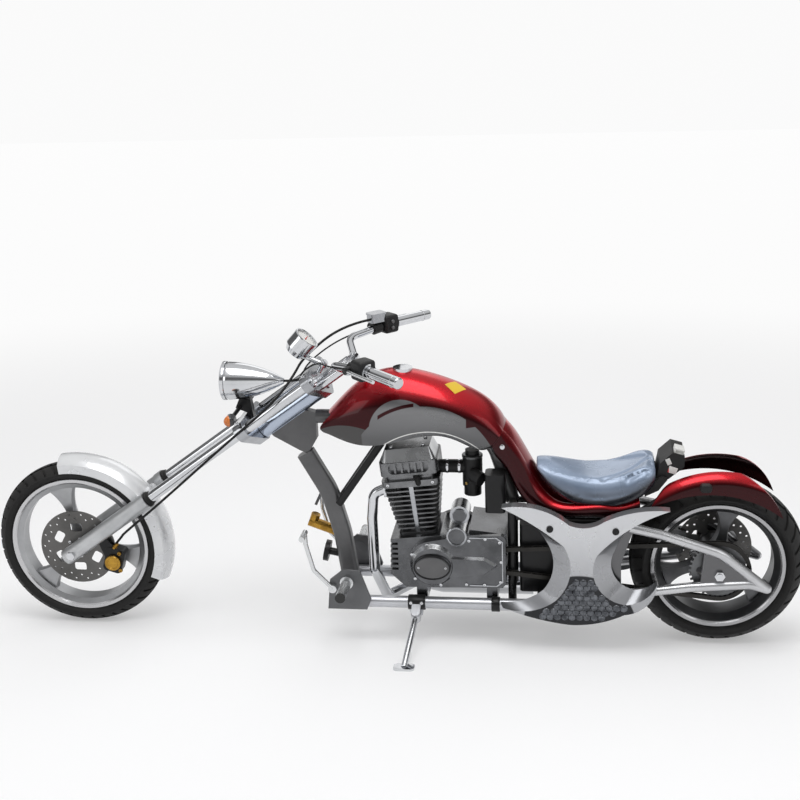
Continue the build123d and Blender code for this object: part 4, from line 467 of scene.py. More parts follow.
saddle_spots = [(Vector((SADDLE_X + along, -RAIL_HALF, RAIL_HIGH)) + SADDLE_R * out, out)
                for along in (-0.017, 0.017)]
screws("saddle_screws", 0.0055, 0.005, saddle_spots)

# Swingarm: bent steel tube in silver lacquer, with axle plates blasted and left grey, and the chromed
# rear axle clamped between them.


def square_to(tree):
    """How squarely a face looks to the side, from 0 to 1."""
    sideways = put(tree, "VectorMath", {"operation": "DOT_PRODUCT"}, Vector=facing_of(tree))
    sideways.inputs[1].default_value = TILT.to_3x3() @ Vector((0, 1, 0))
    return sums(tree, "ABSOLUTE", sideways.outputs["Value"])


arm_paint, tree, shader = new_material("swingarm_silver")
x, y, z = flank(tree)
smudge, grain, _ = marked(tree, 6.0, 900.0)
PLATE_OUT = 0.1285
plate = sums(tree, "GREATER_THAN", square_to(tree), 0.985)
plate = product(tree, plate, sums(tree, "LESS_THAN", sums(tree, "ABSOLUTE", y), PLATE_OUT))
tones = tint(tree, smudge, (0.62, 0.625, 0.64), (0.50, 0.505, 0.52))
tones = tint(tree, plate, tones, (0.13, 0.13, 0.135))
fill(tree, shader, Base_Color=tones, Roughness=ramp(tree, smudge, 0, 1, 0.24, 0.36),
     Normal=bumped(tree, grain, 0.03, 0.0005), Metallic=0.85, Coat_Weight=0.3)
dress(arm_paint, "swingarm")
dress(chrome, "rear_axle")

# Crankcase: cast alloy, toned dark as a painted reflection of dark surroundings, with a painted
# highlight where it slopes up. Socket screws hold the covers.
# The left one has an oval cap with a dark ring, and a raised bead round its sprocket end.
# Dark tone as a painted reflection of dark surroundings, crown colour as a painted highlight on faces that
# slope up.
case_alloy = finish("case_alloy", (0.16, 0.163, 0.171), (0.08, 0.082, 0.086), 0.95, (0.16, 0.34), 700, 0.06,
                    0.0, 0.1, 11.0, crown=(0.78, 0.79, 0.80))
dress(case_alloy, "crankcase")
CRANK = Vector((0.112, 0, 0.236))
CASE_HALF = 0.092
COVER_FACE = CASE_HALF + 0.020
CAP_FACE = CASE_HALF + 0.036 + 0.008


def at_case(along, up, out):
    """Point beside the crank on the left of the engine."""
    return CRANK + Vector((along, -out, up))


COVER_EDGE = ((0.244, 0.118), (0.200, 0.128), (0.150, 0.122), (0.248, 0.052), (0.246, -0.016),
              (0.196, -0.026), (0.140, -0.026), (0.060, -0.030), (-0.020, -0.010), (-0.028, 0.072),
              (0.020, 0.105))
screws("cover_screws", 0.0048, 0.004,
       [(at_case(along, up, COVER_FACE), (0, -1, 0)) for along, up in COVER_EDGE])

OVAL = at_case(0.036, 0.038, CAP_FACE)
ring = turned("oval_ring", [(0.0, 0.052), (0.0, 0.058), (0.0022, 0.0575), (0.003, 0.055), (0.0022, 0.0525)],
              steps=48)
oval_shape = aimed(OVAL, (0, -1, 0)) @ Matrix.Diagonal((1.0, 0.70, 1, 1))
ring.data.transform(oval_shape)
settle(ring, "chassis", "black_paint", black_paint)
plate = turned("oval_plate", [(0.0, 0.0), (0.0, 0.050), (0.0015, 0.0495), (0.0022, 0.046), (0.0024, 0.0)],
               steps=48)
plate.data.transform(oval_shape)
settle(plate, "chassis", "grey_paint", grey_paint)
oval_spots = [(OVAL + Vector((along, 0, 0)), (0, -1, 0)) for along in (-0.042, 0.042)]
screws("oval_screws", 0.0036, 0.003, oval_spots)

polished_alloy = finish("polished_alloy", (0.46, 0.47, 0.49), (0.33, 0.34, 0.36), 1.0, (0.14, 0.3), 500, 0.03)
BEAD_WIDTH = 0.005
BEAD_RISE = 0.003
bead_path = [(0.150, 0.1335), (0.236, 0.1335), (0.2545, 0.120), (0.2545, -0.018), (0.236, -0.0315),
             (0.150, -0.0315)]
bead = begun("cover_bead", bpy.ops.mesh.primitive_grid_add, x_subdivisions=len(bead_path) - 1,
             y_subdivisions=1, size=2)
bead_middle = Vector((0.150, 0.051))
for vertex in bead.data.vertices:
    spot = Vector(bead_path[round((vertex.co.x + 1) / 2 * (len(bead_path) - 1))])
    inward = (bead_middle - spot).normalized() * (BEAD_WIDTH if vertex.co.y > 0 else 0.0)
    vertex.co = at_case(spot.x + inward.x, spot.y + inward.y, COVER_FACE)
edit_all()
pull(0, -BEAD_RISE, 0)
face_out()
bpy.ops.object.mode_set(mode="OBJECT")
pick(bead, lambda middle, normal: middle.y < -COVER_FACE - 0.9 * BEAD_RISE)
bpy.ops.mesh.bevel(offset=0.001, segments=2)
soften(bead, 40)
settle(bead, "chassis", "polished_alloy", polished_alloy)

RIGHT_COVER = CRANK + Vector((0.098, CASE_HALF + 0.024, 0.044))
RIGHT_R = 0.081
right_spots = []
for step in range(10):
    turn = math.radians(-100 + 200 * step / 9)
    right_spots.append((RIGHT_COVER + RIGHT_R * Vector((math.cos(turn), 0, math.sin(turn))), (0, 1, 0)))
screws("right_cover_screws", 0.0048, 0.004, right_spots)

# Starter motor: a turned alloy can behind the cylinder, with a second can for its drive above it. Each
# has a bright rim where its end cap is pressed on.
# The cans take the crankcase finish, with its painted highlight where they slope up.
dress(case_alloy, "starter_motor")
STARTER = CRANK + Vector((0.113, 0, 0.139))
STARTER_FACE = -0.122
starter_rim = turned("starter_rim", [(0.0, 0.026), (0.0, 0.0312), (0.003, 0.0312), (0.0045, 0.029),
                                     (0.003, 0.026)], STARTER + Vector((0, STARTER_FACE, 0)), (0, -1, 0), 40)
settle(starter_rim, "chassis", "polished_alloy", polished_alloy)
drive_rim = turned("drive_rim", [(0.0, 0.021), (0.0, 0.0302), (0.002, 0.0302), (0.003, 0.027),
                                 (0.002, 0.021)], STARTER + Vector((0.008, -0.092, 0.058)), (0, -1, 0), 40)
settle(drive_rim, "chassis", "polished_alloy", polished_alloy)

# Cylinder and head: finned castings that lean forward on the case. A polished bolt tunnel runs down
# each flank of the fins. Screws hold the rocker cover and the head, and a plug sits in the left side.
# The crown colour is a painted highlight on fin faces that slope up.
fin_alloy = finish("fin_alloy", (0.22, 0.223, 0.23), (0.10, 0.102, 0.106), 0.95, (0.2, 0.4), 700, 0.08, 0.0,
                   0.1, 14.0, crown=(0.62, 0.63, 0.64))
dress(fin_alloy, "cylinder", "cylinder_head")
black_rubber = finish("black_rubber", (0.008, 0.008, 0.0085), (0.016, 0.016, 0.016), 0.0, (0.55, 0.75), 900,
                      0.1, dust=0.05, gloss=0.25)
LEAN_FORWARD = math.radians(6)
BORE = Vector((-math.sin(LEAN_FORWARD), 0, math.cos(LEAN_FORWARD)))
BORE_BACK = Vector((math.cos(LEAN_FORWARD), 0, math.sin(LEAN_FORWARD)))


def on_bore(high, back, across):
    """Point at a height along the cylinder's axis, behind it and to the right."""
    return CRANK + high * BORE + back * BORE_BACK + Vector((0, across, 0))


HEAD_TOP = 0.402
top_spots = [(on_bore(HEAD_TOP, back, y), BORE) for back in (-0.05, 0.05) for y in (-0.034, 0.034)]
screws("head_screws", 0.006, 0.005, top_spots)
flank_spots = [(on_bore(0.2945, back, -0.075), (0, -1, 0)) for back in (-0.07, 0.07)]
screws("flank_screws", 0.005, 0.005, flank_spots)
plug = turned("spark_plug", [(-0.004, 0.0), (-0.004, 0.0105), (0.006, 0.0105), (0.0065, 0.006),
                             (0.016, 0.006), (0.0165, 0.0095), (0.04, 0.0085), (0.046, 0.006), (0.048, 0.0)],
              on_bore(0.312, 0.02, -0.063), Vector((0.25, -0.9, -0.2)).normalized(), 20)
settle(plug, "chassis", "black_rubber", black_rubber)

WEB_FOOT, WEB_TOP = 0.124, 0.285
WEB_ROOT, WEB_FOOT_OUT, WEB_TOP_OUT = 0.046, 0.0602, 0.0742
WEB_HALF = 0.008
for side, name in ((-1, "cylinder_web_left"), (1, "cylinder_web_right")):
    web = begun(name, bpy.ops.mesh.primitive_cube_add, size=2)
    for vertex in web.data.vertices:
        high, out = (WEB_FOOT, WEB_FOOT_OUT) if vertex.co.z < 0 else (WEB_TOP, WEB_TOP_OUT)
        out = WEB_ROOT if vertex.co.y < 0 else out
        vertex.co = on_bore(high, WEB_HALF * vertex.co.x, side * out)
    edit_all()
    face_out()
    bpy.ops.mesh.bevel(offset=0.0035, segments=3)
    soften(web, 40)
    settle(web, "chassis", "polished_alloy", polished_alloy)

# Carburettor and air box: a black body on a rubber manifold with two steel clamp bands, a cap with a
# ribbed edge and brass float screws. It draws from a black box behind it.
MOULDED_BLACK = (0.007, 0.007, 0.0075)
MOULDED_SHADE = (0.014, 0.014, 0.0145)
black_plastic = finish("black_plastic", MOULDED_BLACK, MOULDED_SHADE, 0.0, (0.4, 0.58), 1200, 0.12, dust=0.04,
                       gloss=0.3)
dark_alloy = finish("dark_alloy", (0.16, 0.165, 0.17), (0.10, 0.102, 0.105), 0.8, (0.3, 0.45), 900, 0.12)
dress(black_plastic, "carburettor")
dress(black_paint, "air_box")
CARB = CRANK + Vector((0.156, 0, 0.324))
band_model = turned("band", [(-0.004, 0.0211), (-0.004, 0.0224), (-0.003, 0.0230), (0.003, 0.0230),
                             (0.004, 0.0224), (0.004, 0.0211)], steps=32)
band_spots = [(CARB + Vector((along, 0, 0)), (1, 0, 0)) for along in (-0.078, -0.040)]
settle(spread(band_model, "manifold_bands", band_spots), "chassis", "chrome", chrome)
carb_cap = turned("carburettor_cap", [(0.0, 0.0), (0.0, 0.0318), (0.003, 0.0325), (0.007, 0.0325),
                                      (0.009, 0.030), (0.010, 0.0)], CARB + Vector((0, 0, 0.0322)),
                  (0, 0, 1), 40)
pick(carb_cap, lambda middle, normal: abs(normal.z) < 0.3 and math.hypot(middle.x - CARB.x, middle.y) > 0.031
     and int(math.degrees(math.atan2(middle.y, middle.x - CARB.x)) // 9) % 2 == 0)
bpy.ops.mesh.extrude_region_shrink_fatten(TRANSFORM_OT_shrink_fatten={"value": -0.0012})
soften(carb_cap, 35)
settle(carb_cap, "chassis", "cast_alloy", dark_alloy)
brass = finish("brass", (0.55, 0.38, 0.14), (0.42, 0.28, 0.10), 1.0, (0.25, 0.4), 700, 0.05)
FLOAT_BOWL = CARB - Vector((0, 0, 0.046))
FLOAT_R = 0.0312
looks = [Vector((math.cos(turn), math.sin(turn), 0)) for turn in (math.radians(-120), math.radians(-60))]
float_spots = [(FLOAT_BOWL + FLOAT_R * look, look) for look in looks]
screws("carburettor_screws", 0.0045, 0.006, float_spots, "chassis", "gold_anodised", brass)

# Exhaust: one bent and chromed steel pipe, from a flange on the head, under the case and back to a plain
# silencer low on the right.
dress(chrome, "exhaust")

# Battery box and horn: pressed steel in black enamel. The box stands behind the engine, between the
# posts and the pivot plates, and the horn sits ahead of the down tube.
dress(black_paint, "battery_box", "horn")

# Final drive: a roller chain, dark with grease, between two steel sprockets. Six socket screws hold the
# rear sprocket to the hub.
chain_steel = finish("chain_steel", (0.020, 0.019, 0.018), (0.05, 0.048, 0.045), 0.6, (0.35, 0.55), 600, 0.15,
                     gloss=0.3)
dress(chain_steel, "drive_chain")
dress(dark_alloy, "front_sprocket", "rear_sprocket")


def bolt_circle(hub, radius, out, count, first=0.0):
    """Places round an axle at a distance out from the wheel's middle, facing away from it."""
    turns = [math.tau * (step + first) / count for step in range(count)]
    return [(hub + Vector((radius * math.cos(turn), out, radius * math.sin(turn))),
             (0, math.copysign(1, out), 0)) for turn in turns]


screws("rear_sprocket_bolts", 0.005, 0.004, bolt_circle(REAR_HUB, 0.036, -0.095, 6, 0.5), "rear_wheel")

# Fork: chromed tubes in cast alloy sliders, held by two polished clamps. Rubber dust seals sit on the
# sliders, turned caps close the tubes and socket screws pinch the clamps.
cast_alloy = finish("cast_alloy", (0.56, 0.57, 0.58), (0.42, 0.43, 0.44), 0.9, (0.32, 0.5), 900, 0.15)
dress(chrome, "fork_tubes")
dress(cast_alloy, "fork_sliders")
dress(polished_alloy, "triple_clamps")
FORK_HALF = 0.095


def on_head(along, ahead, across=0.0):
    """Point at a distance along the steering axis, in front of it and to the right."""
    return HEAD + along * HEAD_AXIS + ahead * HEAD_AHEAD + Vector((0, across, 0))


SLIDER_TOP = -0.519
CLAMP_TOP = 0.156
seal = turned("seal", [(0.0003, 0.0177), (0.0003, 0.0252), (0.006, 0.0252), (0.009, 0.0222), (0.015, 0.0212),
                       (0.017, 0.0177)])
seal_spots = [(on_head(SLIDER_TOP, FORK_AHEAD, y), HEAD_AXIS) for y in (-FORK_HALF, FORK_HALF)]
settle(spread(seal, "fork_seals", seal_spots), "fork", "black_rubber", black_rubber)

cap = turned("cap", [(0, 0.0), (0.0, 0.0172), (0.004, 0.0172), (0.006, 0.015), (0.0062, 0.011),
                     (0.011, 0.0105), (0.012, 0.0095), (0.012, 0.0)], steps=24)
cap_spots = [(on_head(CLAMP_TOP + 0.0003, FORK_AHEAD, y), HEAD_AXIS) for y in (-FORK_HALF, FORK_HALF)]
settle(spread(cap, "fork_caps", cap_spots), "fork", "chrome", chrome)

CLAMP_FRONT = FORK_AHEAD + 0.0285
clamp_spots = [(on_head(along, CLAMP_FRONT, y), HEAD_AHEAD)
               for along in (-0.121, 0.142) for y in (-FORK_HALF, FORK_HALF)]
screws("clamp_screws", 0.006, 0.006, clamp_spots, "fork")

# Headlight: a spun chrome shell with a bezel round a domed, fluted glass over a bright dish, carried by
# a black steel bracket between the clamps.
dress(chrome, "headlight_shell", "headlight_lens")
dress(black_paint, "lamp_bracket")
LIGHT_FRONT = Vector((-0.497, 0, 0.834))
bezel = turned("headlight_bezel", [(-0.006, 0.0603), (-0.001, 0.0618), (0.004, 0.0612), (0.007, 0.0575),
                                   (0.006, 0.054), (0.0004, 0.0545), (0.0004, 0.057)],
               LIGHT_FRONT, (-1, 0, 0), 48)
settle(bezel, "fork", "chrome", chrome)
LENS_R = 0.0535
LENS_RISE = 0.0115
dome = [(LENS_RISE * (1 - (step / 8) ** 2) + 0.0005 * math.sin(step * 2.4), LENS_R * step / 8)
        for step in range(9)]
glass = turned("headlight_glass", dome + [(-0.0002, LENS_R), (-0.0002, 0.03), (-0.0002, 0.0)],
               LIGHT_FRONT + Vector((-0.0004, 0, 0)), (-1, 0, 0), 48)
headlight_glass, tree, shader = new_material("headlight_glass")
flutes = put(tree, "TexWave", {"wave_type": "BANDS", "bands_direction": "Y"}, Vector=place_of(tree),
             Scale=60.0, Distortion=0.4).outputs["Fac"]
dish = tint(tree, flutes, (0.62, 0.65, 0.68), (0.82, 0.84, 0.86))
fill(tree, shader, Base_Color=dish, Normal=bumped(tree, flutes, 0.5, 0.001), Metallic=0.7, Roughness=0.16,
     Coat_Weight=1.0, Coat_Roughness=0.02)
settle(glass, "fork", "clear_lens", headlight_glass)
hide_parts("headlight_lens")

# Front lamps: black moulded cups with dimpled amber lenses that look forward and out, one at each end
# of the bracket.
lamp_finish, tree, shader = new_material("amber_lamp")
x, y, z = flank(tree)
LAMP_X = on_head(-0.1146, 0.1005).x
out_front = sums(tree, "SUBTRACT", product(tree, sums(tree, "ABSOLUTE", y), 0.5), x)
amber = beyond(tree, out_front, 0.068 - LAMP_X + 0.004, 0.0006)
facets = put(tree, "TexVoronoi", Vector=place_of(tree), Scale=260.0).outputs["Distance"]
lens_tone = tint(tree, facets, (0.85, 0.24, 0.02), (0.55, 0.12, 0.008))
fill(tree, shader, Base_Color=tint(tree, amber, (0.012, 0.012, 0.013), lens_tone), Roughness=0.22,
     Coat_Weight=0.6, Normal=bumped(tree, facets, 0.25, 0.001))
dress(lamp_finish, "front_lamps")

# Speedometer: a spun chrome cup on a stay, closed by a rolled rim. Inside it lie a pale printed dial
# with a ring of ticks and a red needle.
dress(chrome, "speedometer")
SPEEDO_BASE = on_head(0.1363, 0.139)
SPEEDO_AXIS = Vector((0.67, 0, 0.742)).normalized()
SPEEDO_R = 0.041
DIAL_UP = 0.0572
dial_mid = SPEEDO_BASE + DIAL_UP * SPEEDO_AXIS
rim = turned("speedometer_rim", [(0.0048, 0.0412), (0.0075, 0.0405), (0.0085, 0.038), (0.007, 0.0358),
                                 (0.0045, 0.0366)], dial_mid, SPEEDO_AXIS, 48)
settle(rim, "fork", "chrome", chrome)
dial_finish, tree, shader = new_material("dial_finish")
level = put(tree, "Mapping", Vector=put(tree, "TexCoord").outputs["UV"], Location=(-0.5, -0.5, 0)).outputs[0]
parts = put(tree, "SeparateXYZ", Vector=level)
angle = sums(tree, "ARCTAN2", parts.outputs["Y"], parts.outputs["X"])
away = put(tree, "VectorMath", {"operation": "LENGTH"}, Vector=level).outputs["Value"]
tick = sums(tree, "FRACT", product(tree, angle, 24 / math.tau))
tick = sums(tree, "LESS_THAN", sums(tree, "ABSOLUTE", sums(tree, "SUBTRACT", tick, 0.5)), 0.12)
tick = product(tree, tick, sums(tree, "GREATER_THAN", away, 0.39))
tick = product(tree, tick, sums(tree, "LESS_THAN", away, 0.46))
paper = put(tree, "TexNoise", Scale=40.0)
face = tint(tree, paper.outputs[0], (0.78, 0.78, 0.76), (0.70, 0.70, 0.68))
fill(tree, shader, Base_Color=tint(tree, tick, face, (0.02, 0.02, 0.02)), Roughness=0.5)
dial = begun("speedometer_dial", bpy.ops.mesh.primitive_circle_add, vertices=48, radius=SPEEDO_R - 0.0045,
             fill_type="NGON", calc_uvs=True)
pick(dial, lambda middle, normal: True)
pull(0, 0, 0.0012)
bpy.ops.object.mode_set(mode="OBJECT")
dial.data.transform(aimed(dial_mid, SPEEDO_AXIS))
settle(dial, "fork", "clear_lens", dial_finish)
needle_red = finish("needle_red", (0.6, 0.02, 0.01), (0.5, 0.015, 0.01), 0.0, (0.3, 0.4))
needle = begun("speedometer_needle", bpy.ops.mesh.primitive_cone_add, vertices=6, radius1=0.0022,
               radius2=0.0005, depth=0.03, location=(0.012, 0, 0.002), rotation=(0, math.pi / 2, 0))
bpy.ops.object.transform_apply(location=True, rotation=True, scale=True)
pick(needle, lambda middle, normal: middle.x < -0.002)
pull(-0.004, 0, 0)
bpy.ops.object.mode_set(mode="OBJECT")
needle.data.transform(aimed(dial_mid, SPEEDO_AXIS))
settle(needle, "fork", "clear_lens", needle_red)

# Handlebar: a bent and chromed tube in two risers with four clamp screws, and polished grips with a
# ring turned into each end.
dress(chrome, "handlebar", "bar_risers", "grips")
BAR = on_head(0.257, 0.0086)


def grip_line(side):
    """Where the bar bends on a side, and the direction of the grip from there."""
    bend = BAR + Vector((0.082, side * 0.255, 0.058))
    end = BAR + Vector((0.196, side * 0.374, 0.057))
    return bend, (end - bend).normalized()


RING_PLACES = (0.036, 0.144)
grip_rings = []
for side in (-1, 1):
    bend, out = grip_line(side)
    grip_rings += [(bend + out * along, out) for along in RING_PLACES]
ring = turned("ring", [(-0.0025, 0.0166), (-0.0018, 0.0178), (0.0018, 0.0178), (0.0025, 0.0166)], steps=32)
settle(spread(ring, "grip_rings", grip_rings), "fork", "chrome", chrome)
riser_spots = [(BAR + Vector((along, y, 0.0195)), (0, 0, 1)) for along in (-0.006, 0.006)
               for y in (-0.045, 0.045)]
screws("riser_screws", 0.0042, 0.004, riser_spots, "fork")

# Levers and reservoir: black moulded perches with chromed levers ahead of the grips, and a cast and
# polished brake reservoir over the right one.
dress(polished_alloy, "brake_reservoir")
control_finish, tree, shader = new_material("control_finish")
x, y, z = flank(tree)
smudge, grain, _ = marked(tree, 12.0, 1200.0)
LEVER_OUT = 0.272
lever = beyond(tree, sums(tree, "ABSOLUTE", y), LEVER_OUT, 0.0006)
tones = tint(tree, smudge, MOULDED_BLACK, MOULDED_SHADE)
fill(tree, shader, Base_Color=tint(tree, lever, tones, (0.66, 0.67, 0.68)), Metallic=lever,
     Roughness=ramp(tree, lever, 0, 1, 0.45, 0.16), Normal=bumped(tree, grain, 0.08, 0.0006),
     Specular_IOR_Level=0.3)
dress(control_finish, "control_left", "control_right")

# Switch boxes: split black mouldings clamped over the bar inside each grip, with two push buttons
# on the face that looks at the rider.
for side, name in ((-1, "switch_box_left"), (1, "switch_box_right")):
    bend, out = grip_line(side)
    back = out.cross(Vector((0, 0, -side))).normalized() * -1
    up = Vector((0, 0, 1))
    box = begun(name, bpy.ops.mesh.primitive_cube_add, size=2)
    for vertex in box.data.vertices:
        along = 0.029 if vertex.co.x > 0 else -0.026
        rear = 0.026 if vertex.co.y > 0 else -0.031
        high = 0.032 if vertex.co.z > 0 else -0.027
        vertex.co = bend + out * along + back * rear + up * high
    edit_all()
    face_out()
    bpy.ops.mesh.bevel(offset=0.010, segments=4)
    bpy.ops.object.mode_set(mode="OBJECT")
    pick(box, lambda middle, normal: normal.dot(back) > 0.95)
    bpy.ops.mesh.inset(thickness=0.003, depth=-0.0015)
    soften(box, 40)
    settle(box, "fork", "black_plastic", black_plastic)
    button_model = turned("button", [(-0.003, 0.0), (-0.003, 0.0062), (0.003, 0.0062), (0.0045, 0.0048),
                                     (0.0048, 0.0)], steps=20)
    face = bend + back * 0.026
    buttons = spread(button_model, name + "_buttons",
                     [(face + out * 0.001 + up * 0.012, back), (face + out * 0.001 - up * 0.008, back)])
    settle(buttons, "fork", "grey_paint", grey_paint)

# Front fender: a pressed steel blade in pale silver lacquer over the tyre's top and rear. It hangs on an
# ear at each slider and turns with the fork.
fender_silver = finish("fender_silver", (0.80, 0.81, 0.82), (0.72, 0.73, 0.75), 0.35, (0.2, 0.3), 900, 0.02,
                       0.8)
dress(fender_silver, "front_fender")

# Front caliper: a black enamelled block that straddles the disc, with a gold anodised piston cover
# screwed into its outer face, two gold screws and a gold union where the hose ends.
gold_anodised = finish("gold_anodised", (0.52, 0.30, 0.05), (0.30, 0.16, 0.03), 0.95, (0.2, 0.4), 700, 0.1,
                       smudge_scale=30.0)
CALIPER = Vector((-0.89512, -0.0505, 0.24277))
dress(black_paint, "front_caliper")
CALIPER_FACE = Vector((CALIPER.x, CALIPER.y - 0.020, CALIPER.z))
piston_cover = turned("piston_cover", [(-0.002, 0.0), (-0.002, 0.0245), (0.004, 0.0262), (0.009, 0.0262),
                                       (0.0115, 0.0238), (0.0115, 0.0185), (0.0098, 0.0172), (0.0098, 0.0)],
                      CALIPER_FACE + Vector((-0.003, 0, -0.006)), (0, -1, 0), 40)
settle(piston_cover, "fork", "gold_anodised", gold_anodised)
caliper_spots = [(CALIPER_FACE + Vector((along, 0, up)), (0, -1, 0))
                 for along, up in ((0.021, 0.026), (0.020, -0.034))]
screws("caliper_screws", 0.0065, 0.006, caliper_spots, "fork", "gold_anodised", gold_anodised)
union = turned("hose_union", [(-0.010, 0.0), (-0.010, 0.0085), (-0.004, 0.0085), (-0.003, 0.0068),
                              (0.008, 0.0068), (0.010, 0.0055), (0.010, 0.0)],
               CALIPER + Vector((0.008, -0.012, 0.049)), Vector((0.6, 0, 0.8)), 20)
settle(union, "fork", "gold_anodised", gold_anodised)

# Brake hose and handlebar cables: black rubber hose and cable housing. The hose leaves the reservoir,
# crosses behind the lamp and goes down outside the left leg to the caliper; a cable from each switch
# housing drops behind the bar into the tail of the lamp.
dress(black_rubber, "brake_hose", "control_cables")


def cord_line(name, route, diameter, node):
    """A cord of a given thickness on one smooth spline, riding on the fork."""
    curve = bpy.data.curves.new(name, "CURVE")
    curve.dimensions = "3D"
    curve.bevel_depth = diameter / 2
    curve.bevel_resolution = 3
    curve.resolution_u = 16
    curve.use_fill_caps = True
    line = curve.splines.new("NURBS")
    line.points.add(len(route) - 1)
    for spot, place in zip(line.points, route):
        spot.co = (*(STANCE @ Vector(place)), 1)
    line.order_u = 3
    line.use_endpoint_u = True
    curve.materials.append(black_rubber)
    piece = bpy.data.objects.new(name, curve)
    bpy.context.scene.collection.objects.link(piece)
    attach(piece, "fork")
    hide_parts(node)
    return piece


hose_route = [
    (-0.06936, 0.20604, 0.97356), (-0.150, 0.140, 0.972),
    on_head(0.120, 0.100, 0.080), on_head(0.108, 0.088, -0.060), on_head(0.030, 0.066, -0.132),
    on_head(-0.170, 0.050, -0.132), on_head(-0.480, 0.018, -0.132), on_head(-0.650, 0.004, -0.118),
    CALIPER + Vector((0.034, -0.014, 0.084)), CALIPER + Vector((0.006, -0.012, 0.052)),
]
cord_line("front_brake_hose", hose_route, 0.008, "brake_hose")

LIGHT_TAIL = Vector((-0.312, 0, 0.834))
for name, side in (("left_switch_cable", -1), ("right_switch_cable", 1)):
    cable_route = [
        (-0.07216, side * 0.22494, 0.94086), (-0.12940, side * 0.18135, 0.93240),
        on_head(0.200, 0.084, side * 0.074), on_head(0.118, 0.080, side * 0.036),
        LIGHT_TAIL + Vector((0.060, side * 0.0045, 0)), LIGHT_TAIL + Vector((0.0003, side * 0.0045, 0)),
    ]
    cord_line(name, cable_route, 0.005, "control_cables")

# Tyres: black moulded rubber with a chevron tread, a ribbed shoulder and a rim line. Each is one
# section spun about its axle, with the grooves pressed into the tread afterwards.
dress(black_rubber, "front_tyre", "rear_tyre")
tyre_rubber = finish("tyre_rubber", (0.007, 0.007, 0.0075), (0.016, 0.0155, 0.015), 0.0, (0.5, 0.72), 700,
                     0.12, dust=0.06, gloss=0.3)

# name, hub, radius, width, crown radius, shoulder, bead radius, rim half width, blocks, chevron turn
TYRES = (
    ("front_tyre", FRONT_HUB, 0.280, 0.092, 0.050, 0.006, 0.217, 0.033, 44, 0.10),
    ("rear_tyre", REAR_HUB, 0.266, 0.160, 0.100, 0.008, 0.191, 0.060, 34, 0.16),
)
BLOCK_STEPS = 4
CROWN_STRIPS = 14
GROOVE_DEPTH = 0.005
for node, hub, radius, width, crown, inset, bead, rim, blocks, chevron in TYRES:
    half = width / 2
    shoulder = half - inset
    shoulder_r = radius - crown + math.sqrt(crown**2 - shoulder**2)
    foot_r = bead + 0.014
    wall = []
    for step in range(7):
        share = step / 6
        other = 1 - share
        across = rim * other * (1 - 2 * share) + 4 * half * share * other + shoulder * share * (2 * share - 1)
        rib = 0.0012 if step in (1, 4) else 0.0
        wall.append((across + rib, foot_r + (shoulder_r - foot_r) * share))
    tread = []
    for step in range(1, CROWN_STRIPS):
        across = shoulder - 2 * shoulder * step / CROWN_STRIPS
        tread.append((across, radius - crown + math.sqrt(crown**2 - across**2)))
    outer = [(rim, bead), *wall, *tread]
    outer += [(-across, r) for across, r in reversed(wall)] + [(-rim, bead)]
    inner = [(-rim + 0.011, bead), (-shoulder * 0.7, radius - 0.02), (0.0, radius - 0.012),
             (shoulder * 0.7, radius - 0.02), (rim - 0.011, bead)]
    outline = [(hub.x, across, hub.z + r) for across, r in outer + inner]
    tyre = revolved(node + "_treaded", outline, blocks * BLOCK_STEPS, hub, (0, 1, 0), 0.00005)
    for vertex in tyre.data.vertices:
        out = vertex.co - hub
        turn = Matrix.Rotation(chevron * min(abs(out.y) / shoulder, 1.0), 3, "Y")
        vertex.co = hub + turn @ out

    def is_groove(middle, normal):
        """Whether a face of the tread lies in the ring groove or in a chevron's slot."""
        out = middle - hub
        reach = math.hypot(out.x, out.z)
        if reach < shoulder_r - 0.004 or normal.dot(Vector((out.x, 0, out.z)).normalized()) < 0.3:
            return False
        twist = chevron * min(abs(out.y) / shoulder, 1.0)
        column = ((math.atan2(out.z, out.x) + twist) / math.tau * blocks * BLOCK_STEPS) % BLOCK_STEPS
        ring = 0.26 * shoulder < abs(out.y) < 0.40 * shoulder
        slot = abs(out.y) > 0.12 * shoulder and column < 1.0
        return ring or slot

    pick(tyre, is_groove)
    bpy.ops.mesh.extrude_region_shrink_fatten(TRANSFORM_OT_shrink_fatten={"value": -GROOVE_DEPTH})
    soften(tyre, 32)
    settle(tyre, node.replace("_tyre", "_wheel"), "tyre_rubber", tyre_rubber)
    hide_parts(node)

# Rims: cast alloy with a turned and polished lip at the flange. The rear one is painted graphite inside,
# and the front axle is a chromed bar through the sliders.
dress(chrome, "front_axle")


def inside(tree, x, z, middle, radius, soft=0.0009):
    """1 inside a circle on the flank and 0 outside it, with a sprayed edge."""
    away = sums(tree, "SQRT", sums(
        tree, "ADD", sums(tree, "POWER", sums(tree, "SUBTRACT", x, middle[0]), 2.0),
        sums(tree, "POWER", sums(tree, "SUBTRACT", z, middle[1]), 2.0)))
    return ramp(tree, away, radius + soft, radius - soft)


def lipped(name, hub, lip_r, lip, inner, inner_shade):
    """A wheel finish with a bright machined lip outside a radius."""
    made, tree, shader = new_material(name)
    x, y, z = flank(tree)
    smudge, grain, _ = marked(tree, 8.0, 900.0)
    out = sums(tree, "SUBTRACT", 1.0, inside(tree, x, z, (hub.x, hub.z), lip_r, 0.0006))
    tones = tint(tree, smudge, inner, inner_shade)
    fill(tree, shader, Base_Color=tint(tree, out, tones, lip), Roughness=ramp(tree, out, 0, 1, 0.38, 0.16),
         Normal=bumped(tree, grain, 0.08, 0.0006), Metallic=0.9)
    return made


